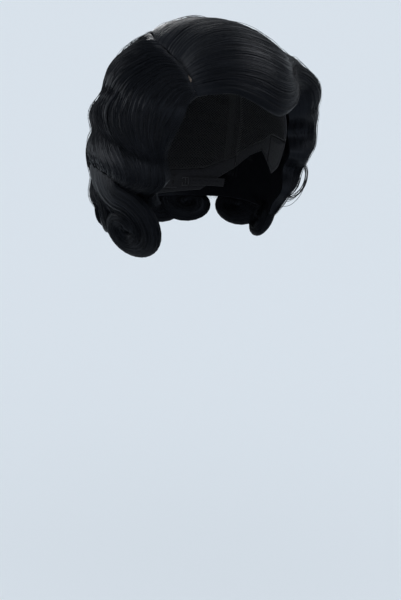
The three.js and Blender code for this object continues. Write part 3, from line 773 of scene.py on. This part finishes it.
def pin_curl(name, azimuth, polar, lift, turn=1, size=1.0, spread=1.0):
    """A curl's body and its loose strands."""
    place = curl_place(azimuth, polar, lift, turn, spread)
    curl_body(name, azimuth, place, size)
    curl_strands(name, place, size)


pin_curl("pin_curl_right", -78, 132.5, 22, -1, 1.42, 1.22)
pin_curl("pin_curl_left", 79, 136.5, 10, 1, 0.85)
NAPE_POLAR = 132.5
NAPE_CURLS = [(-115, 18), (-138, 17), (-164, 16), (168.5, 15), (147.5, 15), (113, 14)]
for k, (azimuth, lift) in enumerate(NAPE_CURLS):
    pin_curl(f"nape_curl_{k + 1}", azimuth, NAPE_POLAR, lift, 1 if k % 2 else -1, 1.0, 1.4)
print("with curls:", sum(TRIANGLES.values()), "triangles")


# %% [markdown]
# ## A stray lock
# On the wearer's left a few hairs have come away and hang in a small loose loop beside the cheek. They could be left
# out, but a set wig always sheds some, so a few strands follow two smooth routes, each shifted by its own amount.

# %% Stray lock
STRAY_SCATTER = (1.1, 1.0, 1.0)     # degrees round, degrees down and mm out


def stray_lock(name, route, count):
    """Strands along a smooth route of azimuth, polar and height. They spread from 0.4 to 1.6 times their shift."""
    fine = smooth_route(np.array(route, float), 8)
    shift = RANDOM.normal(0, 1, (count, 1, 3)) * STRAY_SCATTER
    opening = 0.4 + 1.2 * np.linspace(0, 1, len(fine))[None, :, None]
    places = fine[None] + shift * opening
    d = direction(places[..., 0], places[..., 1])
    lay_strands(name, raised(d, places[..., 2]), d, RANDOM.uniform(0.16, 0.28, count))


stray_lock("stray_lock_left_strands", [(72, 98, 28), (66, 102, 30), (60, 107, 28), (57, 112, 24), (60, 117, 20),
                                       (67, 120, 16), (73, 121, 14)], 16)
stray_lock("stray_lock_low_strands", [(72, 104, 25), (64, 109, 24), (62, 114, 20), (66, 119, 16), (72, 122, 13)], 10)
print("stray strands:", TRIANGLES["stray_lock_left_strands"] + TRIANGLES["stray_lock_low_strands"], "triangles")

# %% [markdown]
# ## The cap's edges and seams
# Everything inside the wig is cut to the same two lines round the head: the lower edge of the cap, and the seam
# where its nets meet the elastic bands. Both are levels down the head, by distance from the middle of the forehead.

# %% Cap lines
# Each layer's inner and outer height above the head, in mm; each line is azimuth and level, in degrees.
LAYER = {"adjuster": (0.3, 1.0), "cap": (1.4, 2.1), "stay": (2.5, 3.0), "rib": (2.5, 3.1),
         "parting": (2.5, 3.2), "weft": (3.5, 4.4)}
EDGE = [(0, 51), (30, 52), (40, 54), (46, 60), (50, 67), (55, 78), (60, 92), (66, 106), (74, 112),
        (82, 107), (92, 100), (104, 106), (116, 116), (140, 130), (180, 132)]
NET_SEAM = [(0, 44), (30, 45), (40, 47), (46, 53), (50, 60), (55, 71), (58, 80), (60, 86), (82, 86),
            (92, 93), (104, 99), (116, 108), (140, 118), (180, 120)]
TAB_FROM, TAB_TO, TAB_TOP = 59, 82, 87.4
FRONT_REACH, EAR_END, CROWN_NET, SEAM = 58, 116, 40, 0.9
GAP = 0.2               # degrees left between neighbouring panels
AREA_SLACK = 1.002      # a piece is cut from a rectangle that is at least this much larger than itself


def line_round(table):
    """A function of azimuth that reads a table of levels, the same on both sides of the head."""
    x, y = zip(*table)
    return lambda azimuth: np.interp(np.abs((np.asarray(azimuth) + 180) % 360 - 180), x, y)


cap_edge, net_seam = line_round(EDGE), line_round(NET_SEAM)


def below_seam(azimuth):
    """Just below the seam between the nets and the bands."""
    return net_seam(azimuth) + SEAM


def level(polar):
    """A line at one level all round."""
    return lambda azimuth: polar + 0 * np.asarray(azimuth, float)


def between(first, last, top, bottom):
    """A patch of the cap as a function of s across and t down: from one azimuth to another, between two lines."""
    def place(s, t):
        azimuth = first + (last - first) * s
        return direction(azimuth, top(azimuth) + (bottom(azimuth) - top(azimuth)) * t)
    return place


def patch_size(place, height):
    """The patch's middle width and length and its true area, in mm, measured on a grid."""
    s, t = np.meshgrid(np.linspace(0, 1, 49), np.linspace(0, 1, 33))
    p = raised(place(s, t), np.full(s.shape, height))
    right, down = np.diff(p, axis=1), np.diff(p, axis=0)
    area = np.linalg.norm(np.cross(right[:-1], down[:, :-1]), axis=-1).sum()
    return np.linalg.norm(right, axis=-1).sum(1).max(), np.linalg.norm(down, axis=-1).sum(0).max(), area


front_band = between(-FRONT_REACH, FRONT_REACH, below_seam, cap_edge)
print("front band:", [round(float(x)) for x in patch_size(front_band, LAYER["cap"][1])[:2]], "mm")

# %% [markdown]
# ## Nets
# The cap's panels are stretch net, knotted from two sets of threads that cross on the slant. Each thread is made as
# a thin closed tube along a slanting line of its panel, one set a little above the other, inside a sewn hem.

# %% Threads on a patch
THREAD_STATIONS = 22
NET_PITCH, NET_THREAD = 2.15, (0.3, 0.2)         # mm between threads, and a thread's half-width and half-height
HEM_THREAD = (0.7, 0.34)


def net_material():
    """Matt black yarn with a slightly uneven tone."""
    material, shader = new_material("net_yarn")
    place = add_node(material, "TexCoord")
    fleck = add_node(material, "TexNoise", Scale=900)
    tone = ramp(material, (0.006, 0.006, 0.007), (0.016, 0.016, 0.018))
    connect(material, (place, "Object", fleck, "Vector"), (fleck, "Fac", tone, "Fac"),
            (tone, "Color", shader, "Base Color"))
    set_values(shader, Roughness=0.8, Specular_IOR_Level=0.3, Sheen_Weight=0.15)
    return material


NET_YARN = net_material()


def tubes_on_patch(place, lines, height, half_width, half_height, sides=4):
    """Tubes along lines of a patch: lines is (tubes, stations, 2) of s and t; height may vary along them."""
    d = place(lines[..., 0], lines[..., 1])
    centres = raised(d, np.broadcast_to(height, d.shape[:-1]))
    tangent = unit(np.gradient(centres, axis=1))
    across = unit(np.cross(tangent, d))
    return sweep(centres, across * half_width, np.cross(across, tangent) * half_height, sides)


def join(parts):
    """Several (points, faces) as one, with the face numbers moved on."""
    points, faces, first = [], [], 0
    for some_points, some_faces in parts:
        points.append(some_points.reshape(-1, 3))
        faces += [group + first for group in some_faces]
        first += len(points[-1])
    return np.concatenate(points), faces


print("net yarn:", NET_YARN.name, "threads every", NET_PITCH, "mm")


# %% A net panel
def slanting_lines(width, length, slant, deepest):
    """Lines at 45 degrees over a width by length patch, as (lines, stations, 2) of s and t. Only the stretches that
    lie above the level t = deepest(s) are kept."""
    lines = []
    for c in np.arange(NET_PITCH, width + length - NET_PITCH / 2, NET_PITCH * math.sqrt(2)):
        x = np.linspace(max(0, c - length), min(width, c), 240)
        s, t = x / width if slant > 0 else 1 - x / width, (c - x) / length
        inside = np.concatenate([[0], t <= deepest(s) + 1e-9, [0]]).astype(int)
        for begin, end in zip(np.flatnonzero(np.diff(inside) == 1), np.flatnonzero(np.diff(inside) == -1)):
            if (end - begin) * (x[1] - x[0]) > 2:
                keep = np.linspace(begin, end - 1, THREAD_STATIONS)
                lines.append(np.stack([np.interp(keep, np.arange(240), s), np.interp(keep, np.arange(240), t)], -1))
    return np.array(lines)


def border_lines():
    """The four sides of a patch, as lines of s and t."""
    w = np.linspace(0, 1, 60)
    o = 0 * w
    return np.stack([np.stack([w, o], -1), np.stack([w, o + 1], -1), np.stack([o, w], -1), np.stack([o + 1, w], -1)])


def net_panel(name, place, whole=None, deepest=np.ones_like):
    """A panel of net with its sewn hem, held stretched over the head. Where its lower edge isn't level, whole is the
    level-edged patch that it is cut from, and deepest says how far down that patch it goes."""
    middle_height = sum(LAYER["cap"]) / 2
    width, length, area = patch_size(place, middle_height)
    cut_from = whole or place
    cut_width, cut_length, _ = patch_size(cut_from, middle_height)
    parts = [tubes_on_patch(cut_from, slanting_lines(cut_width, cut_length, slant, deepest),
                            middle_height + 0.13 * slant, *NET_THREAD) for slant in (1, -1)]
    parts.append(tubes_on_patch(place, border_lines(), middle_height, *HEM_THREAD, 6))
    points, faces = join(parts)
    net = add_piece(f"{name}_mesh", points, faces, NET_YARN, stands_for=[name])
    width = max(width, AREA_SLACK * area / length)
    print(name, "flat", round(width), "x", round(length), "mm, area", round(area / 100), "cm2,",
          TRIANGLES[net.name], "triangles")


# %% [markdown]
# ## Elastic bands and tapes
# The cap's rim is ribbed elastic webbing. Its ribs are real ridges: the outer and inner faces rise and fall as a
# cosine across the band, and rows of zigzag stitches hold its edges.

# %% Webbing
def webbing_material(name, dark, light, scale):
    """Woven yarn: two crossing sets of fine waves give the weave its tone and its grain."""
    material, shader = new_material(name)
    place = combed_map(material)
    weave = add_node(material, "Math")
    weave.operation = "MULTIPLY"
    for k, way in enumerate("XY"):
        wave = add_node(material, "TexWave", Scale=scale, Distortion=0.4)
        wave.bands_direction = way
        connect(material, (place, "UV", wave, "Vector"), (wave, "Fac", weave, k))
    tone = ramp(material, dark, light)
    bump = add_node(material, "Bump", Strength=0.5, Distance=0.0002)
    connect(material, (weave, "Value", tone, "Fac"), (weave, "Value", bump, "Height"),
            (tone, "Color", shader, "Base Color"), (bump, "Normal", shader, "Normal"))
    set_values(shader, Roughness=0.75, Specular_IOR_Level=0.25, Sheen_Weight=0.1)
    return material


ELASTIC = webbing_material("ribbed_elastic", (0.008, 0.008, 0.010), (0.022, 0.022, 0.026), 0.7)
TAPE = webbing_material("woven_tape", (0.010, 0.010, 0.012), (0.028, 0.028, 0.032), 1.1)
THREAD_BLACK = strand_tone("sewing_thread", (0.02, 0.02, 0.023), 0.5)
print("webbing finishes:", ELASTIC.name, TAPE.name, THREAD_BLACK.name)


# %% A slab with holes, and stitches
def masked_slab(outer, inner, cells):
    """The solid between two grids where cells says so, with a wall round every edge of what is there."""
    rows, columns = outer.shape[:2]
    ids = np.arange(rows * columns).reshape(rows, columns)
    n = rows * columns
    wide = np.pad(cells, 1)
    here = wide[1:-1, 1:-1]
    a, b, c, d = ids[:-1, :-1], ids[:-1, 1:], ids[1:, 1:], ids[1:, :-1]
    faces = [np.stack([a, b, c, d], -1)[here], np.stack([d, c, b, a], -1)[here] + n]
    for corner, other, beside in ((a, b, wide[:-2, 1:-1]), (b, c, wide[1:-1, 2:]),
                                  (c, d, wide[2:, 1:-1]), (d, a, wide[1:-1, :-2])):
        edge = here & ~beside
        faces.append(np.stack([corner[edge], corner[edge] + n, other[edge] + n, other[edge]], -1))
    points = np.concatenate([outer.reshape(-1, 3), inner.reshape(-1, 3)])
    used = np.unique(np.concatenate([f.ravel() for f in faces]))
    renumber = np.zeros(len(points), int)
    renumber[used] = np.arange(len(used))
    return points[used], [renumber[f] for f in faces], used


def zigzag(rows_at, width, length, pitch=3.0):
    """Zigzag stitches along levels t of a patch: each is one short thread from one side of the row to the other."""
    count = max(2, int(width / pitch))
    lines = []
    for t in rows_at:
        s = (np.arange(count) + 0.5) / count
        sway = 0.9 / length * np.where(np.arange(count) % 2, 1, -1)
        half = 0.5 / count
        lines.append(np.stack([np.stack([s - half, t - sway], -1), np.stack([s, t + 0 * s], -1),
                               np.stack([s + half, t + sway], -1)], 1))
    return np.clip(np.concatenate(lines), 0, 1)


print("zigzag stitches on 30 mm of band:", len(zigzag((0.5,), 30, 10)))


# %% Bands
def webbing(name, node, place, layer, rib_mm, finish, body="wig", columns=None, stitch_rows=(0.12, 0.88),
            cells=None, rib_depth=0.14):
    """A ribbed band: ridges run along it, its height is a cosine across, and its edges are stitched."""
    low, high = LAYER[layer]
    width, length, _ = patch_size(place, high)
    ribs = max(2, round(length / rib_mm))
    rows = ribs * 4 + 1
    columns = columns or max(12, round(width / 2.0)) + 1
    s, t = np.meshgrid(np.linspace(0, 1, columns), np.linspace(0, 1, rows))
    ridge = rib_depth * (np.cos(2 * np.pi * ribs * t) - 1) / 2
    d = place(s, t)
    outer, inner = raised(d, high + ridge), raised(d, low - ridge)
    uv = np.stack([s * width, t * length], -1).reshape(-1, 2)
    uv = np.concatenate([uv, uv])
    if cells is None:
        points, faces = np.stack([outer, inner]).reshape(-1, 3), slab_faces(rows, columns)
    else:
        mask = cells((s[:-1, :-1] + s[1:, 1:]) / 2, (t[:-1, :-1] + t[1:, 1:]) / 2)
        points, faces, used = masked_slab(outer, inner, mask)
        uv = uv[used]
    lines = zigzag(stitch_rows, width, length)
    stitches, stitch_faces = join([tubes_on_patch(place, lines, low - 0.08, 0.2, 0.16),
                                   tubes_on_patch(place, lines, high + 0.05, 0.2, 0.16)])
    slots = np.repeat([0, 1], [sum(len(f) for f in faces), sum(len(f) for f in stitch_faces)])
    uv = np.concatenate([uv, np.zeros((len(stitches), 2))])
    faces = faces + [f + len(points) for f in stitch_faces]
    points = np.concatenate([points, stitches])
    return add_piece(name, points, faces, [finish, THREAD_BLACK], body=body, stands_for=[node],
                     uv=uv, slots=slots)


webbing("front_band_webbing", "front_band", front_band, "cap", 1.6, ELASTIC)
nape_band = between(EAR_END + GAP, 360 - GAP - EAR_END, below_seam, cap_edge)
webbing("nape_band_webbing", "nape_band", nape_band, "cap", 1.8, ELASTIC)
for side, sign in (("left", 1), ("right", -1)):
    ear_band = between(sign * (TAB_TO + SEAM), sign * (EAR_END - GAP), below_seam, cap_edge)
    webbing(f"ear_band_{side}_webbing", f"ear_band_{side}", ear_band, "cap", 1.6, ELASTIC)
print("with the bands:", sum(TRIANGLES.values()), "triangles")


# %% The nets
def crown_disc(s, t):
    """A round patch on top of the head from a square: each side of the square is bent out to a quarter circle."""
    x, y = 2 * s - 1, 2 * t - 1
    across, along = x * np.sqrt(1 - y * y / 2), y * np.sqrt(1 - x * x / 2)
    return direction(np.degrees(np.arctan2(across, -along)), CROWN_NET * np.hypot(across, along))


net_panel("crown_net", crown_disc)
net_top = level(CROWN_NET + SEAM)
SIDE_NET_LOW = 108
for side, sign in (("left", 1), ("right", -1)):
    first, last = sign * GAP, sign * (EAR_END - GAP)
    net_panel(f"side_net_{side}", between(first, last, net_top, net_seam),
              between(first, last, net_top, level(SIDE_NET_LOW)),
              lambda s: (net_seam(first + (last - first) * s) - CROWN_NET - SEAM) / (SIDE_NET_LOW - CROWN_NET - SEAM))
net_panel("back_net", between(EAR_END + GAP, 360 - GAP - EAR_END, net_top, net_seam))

# %% [markdown]
# ## Ribs and ear tabs
# Woven tapes down the back keep the cap's length. At each side a cloth tab lies flat before the ear, stiffened by a
# soft steel stay that the wearer bends to fit.

# %% Ribs
RIB_WIDTH, RIB_TOP = 8, 44          # mm, and degrees down the head
HEAD_ROUND = 95                     # mm, about the head's radius where the ribs lie


def rib(name, azimuth, bottom):
    """A straight tape down the head: it keeps its width by spanning a wider angle where the head is narrower."""
    def place(s, t):
        polar = RIB_TOP + (bottom - RIB_TOP) * t
        half = np.degrees(RIB_WIDTH / 2 / (HEAD_ROUND * np.sin(np.radians(polar))))
        return direction(azimuth + half * (2 * s - 1), polar)
    # s and t change places, so that the weave's ribs run along the tape
    webbing(f"{name}_tape", name, lambda s, t: place(t, s), "rib", 1.3, TAPE, columns=50)


rib("rib_centre", 180, 128)
rib("rib_left", 124, 112)
rib("rib_right", -124, 112)
print("rib tapes:", sum(name.startswith("rib_") for name in TRIANGLES))


# %% Tabs and stays
def steel_material():
    """Brushed spring steel: fine scratches along the bar change its gloss."""
    material, shader = new_material("spring_steel")
    place = add_node(material, "TexCoord")
    stretch = add_node(material, "Mapping", Scale=(3000, 3000, 60))
    scratch = add_node(material, "TexNoise", Scale=1)
    gloss = add_node(material, "MapRange", To_Min=0.25, To_Max=0.5)
    connect(material, (place, "Object", stretch, "Vector"), (stretch, "Vector", scratch, "Vector"),
            (scratch, "Fac", gloss, "Value"), (gloss, "Result", shader, "Roughness"))
    set_values(shader, Base_Color=(0.42, 0.43, 0.45, 1), Metallic=1.0)
    return material


SPRING_STEEL = steel_material()
STAY_AT, STAY_FROM, STAY_TO = 72.5, 89, 108         # azimuth, and levels of its two ends
STAY_BAR = (1.9, 0.24)                              # mm, half its width and thickness
for side, sign in (("left", 1), ("right", -1)):
    tab = between(sign * TAB_FROM, sign * TAB_TO, level(TAB_TOP), cap_edge)
    webbing(f"ear_tab_{side}_cloth", f"ear_tab_{side}", tab, "cap", 1.0, TAPE, body=f"ear_tab_{side}",
            rib_depth=0.08, stitch_rows=(0.06, 0.12, 0.9), columns=40)
    stay = between(sign * (STAY_AT - 0.1), sign * (STAY_AT + 0.1), level(STAY_FROM), level(STAY_TO))
    lines = np.stack([np.full(24, 0.5), np.linspace(0, 1, 24)], -1)[None]
    points, faces = tubes_on_patch(stay, lines, sum(LAYER["stay"]) / 2, *STAY_BAR, 12)
    add_piece(f"ear_stay_{side}_bar", points, faces, SPRING_STEEL, body=f"ear_tab_{side}",
              stands_for=[f"ear_stay_{side}"])
print("ear tabs and stays:", sum(name.startswith(("ear_tab", "ear_stay")) for name in TRIANGLES), "pieces")

# %% [markdown]
# ## Wefts
# The hair is not knotted into the net. It is sewn by machine into long tracks, close threads woven through folded
# hair, and the tracks are stitched round the back of the head. Seen from inside, each shows as a ridge with hair
# running down from it.

# %% Wefts
WEFT_STARTS = (62, 62, 62, 62, 101, 114)        # the azimuth where each row begins; it ends opposite
WEFT_HAIR_PITCH = 1.15                          # mm between the folded hairs
WEFT_THREADS = ((-0.14, 4.1), (-0.07, 4.2), (0.0, 4.2), (0.07, 4.2), (0.14, 4.1))   # place down and mm out


def weft(row, start):
    """One track: five sewing threads along it and folded hair down from it, as thin tubes."""
    polar = SHOULDER + WAVE_PITCH * (row - 1)
    place = between(start, 360 - start, level(polar), level(polar + 10.5))
    low, high = LAYER["weft"]
    width = patch_size(place, high)[0]
    along = np.linspace(0, 1, round(width / 2.5))
    parts, slots = [], []
    for t, height in WEFT_THREADS:
        lines = np.stack([along, t + 0 * along], -1)[None]
        parts.append(tubes_on_patch(place, lines, height - 0.25, 0.42, 0.32, 6))
        slots.append(np.zeros(sum(len(f) for f in parts[-1][1]), int))
    count = int(width / WEFT_HAIR_PITCH)
    t = np.linspace(-0.15, 1, 7)[None]
    s = (np.arange(count)[:, None] + 0.5) / count + RANDOM.normal(0, 0.3, (count, 1)) / count
    s = np.clip(s + RANDOM.normal(0, 1.2, (count, 1)) / width * np.clip(t, 0, 1), 0, 1)
    lines = np.stack(np.broadcast_arrays(s, t), -1)
    height = low - 0.1 + 1.0 * np.clip(t, 0, 1) + RANDOM.uniform(-0.15, 0.15, (count, 1))
    parts.append(tubes_on_patch(place, lines, height, 0.34, 0.2, 3))
    slots.append(np.ones(sum(len(f) for f in parts[-1][1]), int))
    points, faces = join(parts)
    add_piece(f"weft_{row + 1}_track", points, faces, [THREAD_BLACK, STRAND_TONES[1]],
              stands_for=[f"weft_{row + 1}"], slots=np.concatenate(slots))


for row, start in enumerate(WEFT_STARTS):
    weft(row, start)
print("weft tracks:", len(WEFT_STARTS))

# %% [markdown]
# ## Adjusters
# Two elastic straps run along the inside of the nape. Each ends in a small hook that goes into one of the loops of a
# tape, so that the wearer can draw the cap in.

# %% Adjusters
STRAP_FROM, STRAP_TO, STRAP_POLAR, STRAP_HALF = 122, 148, 126, 2.2
HOOK_WIRE = 0.36        # mm, half the wire's thickness
HOOK_BENDS = [[(0.5, 0.1), (0.1, 0.1), (0.1, 0.9), (0.5, 0.9), (0.5, 0.1)],
              [(0.45, 0.1), (0.9, 0.1), (0.9, 0.25)], [(0.45, 0.9), (0.9, 0.9), (0.9, 0.62)]]
LOOP_FROM, LOOP_TO, LOOPS = 157, 175, 9


def hook_material():
    """Black-coated hook wire, a little worn on its bends."""
    material, shader = new_material("coated_hook")
    place = add_node(material, "TexCoord")
    wear = add_node(material, "TexNoise", Scale=700)
    tone = ramp(material, (0.015, 0.015, 0.017), (0.06, 0.06, 0.065), 0.45, 0.75)
    connect(material, (place, "Object", wear, "Vector"), (wear, "Fac", tone, "Fac"),
            (tone, "Color", shader, "Base Color"))
    set_values(shader, Roughness=0.35)
    return material


COATED_HOOK = hook_material()


def rounded_route(corners, stations=64):
    """A route through corners in straight runs, evenly spaced and smoothed, so that the wire bends round them."""
    corners = np.array(corners, float)
    lengths = np.concatenate([[0], np.cumsum(np.linalg.norm(np.diff(corners, axis=0), axis=1))])
    even = np.linspace(0, lengths[-1], stations)
    route = np.stack([np.interp(even, lengths, corners[:, c]) for c in (0, 1)], -1)
    for _ in range(3):
        route[1:-1] = (route[:-2] + 2 * route[1:-1] + route[2:]) / 4
    return route


def strip(side_sign, first, last, margin):
    """A level patch along the nape between two azimuths, wider than a strap by margin degrees each way."""
    half = STRAP_HALF + margin
    return between(side_sign * first, side_sign * last, level(STRAP_POLAR - half), level(STRAP_POLAR + half))


def holes(s, t):
    """Where the tape of loops is solid: all along its two edges, and every second field between them."""
    return (np.abs(t - 0.5) > 1 / 6) | (np.floor(s * LOOPS) % 2 == 0)


for side, sign in (("left", 1), ("right", -1)):
    webbing(f"adjuster_strap_{side}_elastic", f"adjuster_strap_{side}", strip(sign, STRAP_FROM, STRAP_TO, 0),
            "adjuster", 1.4, ELASTIC, body=f"adjuster_strap_{side}", stitch_rows=(0.5,), columns=64)
    hook = strip(sign, STRAP_TO + SEAM, STRAP_TO + 6, 0.4)
    lines = np.stack([rounded_route(corners) for corners in HOOK_BENDS])
    points, faces = tubes_on_patch(hook, lines, sum(LAYER["adjuster"]) / 2, HOOK_WIRE, HOOK_WIRE, 8)
    add_piece(f"adjuster_hook_{side}_wire", points, faces, COATED_HOOK, body=f"adjuster_hook_{side}",
              stands_for=[f"adjuster_hook_{side}"])
    webbing(f"loop_tape_{side}_woven", f"loop_tape_{side}", strip(sign, LOOP_FROM, LOOP_TO, 1), "adjuster", 1.1,
            TAPE, columns=4 * LOOPS + 1, stitch_rows=(0.1, 0.9), cells=holes)
print("straps, hooks and tapes of loops:", sum(name.startswith(("adjuster", "loop")) for name in TRIANGLES), "pieces")

# %% [markdown]
# ## The parting strip
# Under the parting lies a strip of skin-coloured fine net with a coated back, and the hair is knotted into it one by
# one. It is a smooth curved strip with fine pores and faint darker knots near the hair.

# %% Parting strip
PART_CORNERS = ((-29, 50), (-52, 21), (-47, 52), (-92, 33))     # inner front and back, outer front and back
PART_ROWS, PART_COLUMNS = 91, 41


def skin_material():
    """Pale skin tone with soft blotches, fine pores and small knots."""
    material, shader = new_material("parting_skin")
    place = add_node(material, "TexCoord")
    blotch = add_node(material, "TexNoise", Scale=260)
    knots = add_node(material, "TexVoronoi", Scale=900)
    tone = ramp(material, (0.52, 0.39, 0.31), (0.74, 0.6, 0.5))
    dots = ramp(material, (0.25, 0.2, 0.18), (1, 1, 1), 0.12, 0.3)
    both = add_node(material, "Mix")
    both.data_type, both.blend_type = "RGBA", "MULTIPLY"
    both.inputs["Factor"].default_value = 0.8
    bump = add_node(material, "Bump", Strength=0.4, Distance=0.0002)
    connect(material, (place, "Object", blotch, "Vector"), (place, "Object", knots, "Vector"),
            (blotch, "Fac", tone, "Fac"), (knots, "Distance", dots, "Fac"), (knots, "Distance", bump, "Height"),
            (tone, "Color", both, "A"), (dots, "Color", both, "B"), (both, "Result", shader, "Base Color"),
            (bump, "Normal", shader, "Normal"))
    set_values(shader, Roughness=0.55)
    return material


def parting_place(s, t):
    """A strip between two straight lines of directions that run back from the forehead."""
    in_front, in_back, out_front, out_back = (direction(*corner) for corner in PART_CORNERS)
    inside = in_front + (in_back - in_front) * t[..., None]
    outside = out_front + (out_back - out_front) * t[..., None]
    return unit(inside + (outside - inside) * s[..., None])


def parting_strip():
    """The strip as a thin slab with rounded long edges."""
    low, high = LAYER["parting"]
    s, t = np.meshgrid(np.linspace(0, 1, PART_COLUMNS), np.linspace(0, 1, PART_ROWS))
    d = parting_place(s, t)
    thin = 0.25 * np.clip(np.abs(2 * s - 1) * 8 - 7, 0, 1) ** 2
    points = np.stack([raised(d, high - thin), raised(d, low + thin)])
    width, length, area = patch_size(parting_place, high)
    strip = add_piece("parting_strip_skin", points, slab_faces(PART_ROWS, PART_COLUMNS), skin_material(),
                      stands_for=["parting_strip"])
    print("parting strip flat", round(width, 1), "x", round(length, 1), "mm")


parting_strip()
print("with the cap:", sum(TRIANGLES.values()), "triangles")


# %% [markdown]
# ## Floor and light
# A plain pale floor and large soft lights: a broad one high on the wearer's left, a weak one in front, one behind
# that draws the thin line of light along the crown, and one low at the right. The floor is kept out of their light,
# because a floor that burns out would hide the outline.

# %% Stage
FLOOR_BELOW_CROWN, FLOOR_RADIUS = 0.52, 30      # metres
LAMPS = (       # azimuth and elevation, metres from the head, size in metres, watts
    ("key_light", 95, 58, 1.3, 0.6, 5.5),
    ("front_light", -20, 40, 1.4, 0.6, 1.6),
    ("back_light", 160, 22, 1.3, 0.4, 5.5),
    ("side_light", -140, 12, 1.3, 0.5, 3),
)


def add_floor():
    """A wide pale disc."""
    material, shader = new_material("stage_paper")
    set_values(shader, Base_Color=(0.86, 0.88, 0.90, 1), Roughness=0.9, Specular_IOR_Level=0.1)
    angle = 2 * np.pi * np.arange(96) / 96
    ring = np.stack([FLOOR_RADIUS * np.cos(angle), FLOOR_RADIUS * np.sin(angle), 0 * angle - FLOOR_BELOW_CROWN], -1)
    mesh = bpy.data.meshes.new("stage_floor")
    mesh.from_pydata(ring.tolist(), [], [list(range(96))])
    mesh.materials.append(material)
    floor = bpy.data.objects.new("stage_floor", mesh)
    bpy.context.scene.collection.objects.link(floor)
    return floor


def add_light(floor):
    """A pale sky, and soft lamps aimed at the hair, which leave the floor to the sky."""
    world = bpy.data.worlds.new("studio")
    bpy.context.scene.world = world
    world.use_nodes = True
    set_values(world.node_tree.nodes["Background"], Color=(0.80, 0.86, 0.92, 1), Strength=1.0)
    unlit = bpy.data.collections.new("not_lit_by_lamps")
    unlit.objects.link(floor)
    unlit.collection_objects[0].light_linking.link_state = "EXCLUDE"
    for name, azimuth, elevation, distance, size, power in LAMPS:
        back = seen_from(azimuth, elevation)
        x = unit(np.cross([0, 0, 1], back))
        data = bpy.data.lights.new(name, "AREA")
        data.size, data.energy = size, power
        lamp = aimed(name, data, (x, np.cross(back, x), back), back * distance)
        lamp.light_linking.receiver_collection = unlit
    bpy.context.scene.view_settings.view_transform = "Standard"


add_light(add_floor())
print("lamps:", len(LAMPS))

# %% [markdown]
# ## Sizes
# The number of triangles and of pieces is printed. The looks may stand a little proud of the imported
# model, but no more.

# %% Finish
print("triangles:", sum(TRIANGLES.values()), "pieces:", len(TRIANGLES))
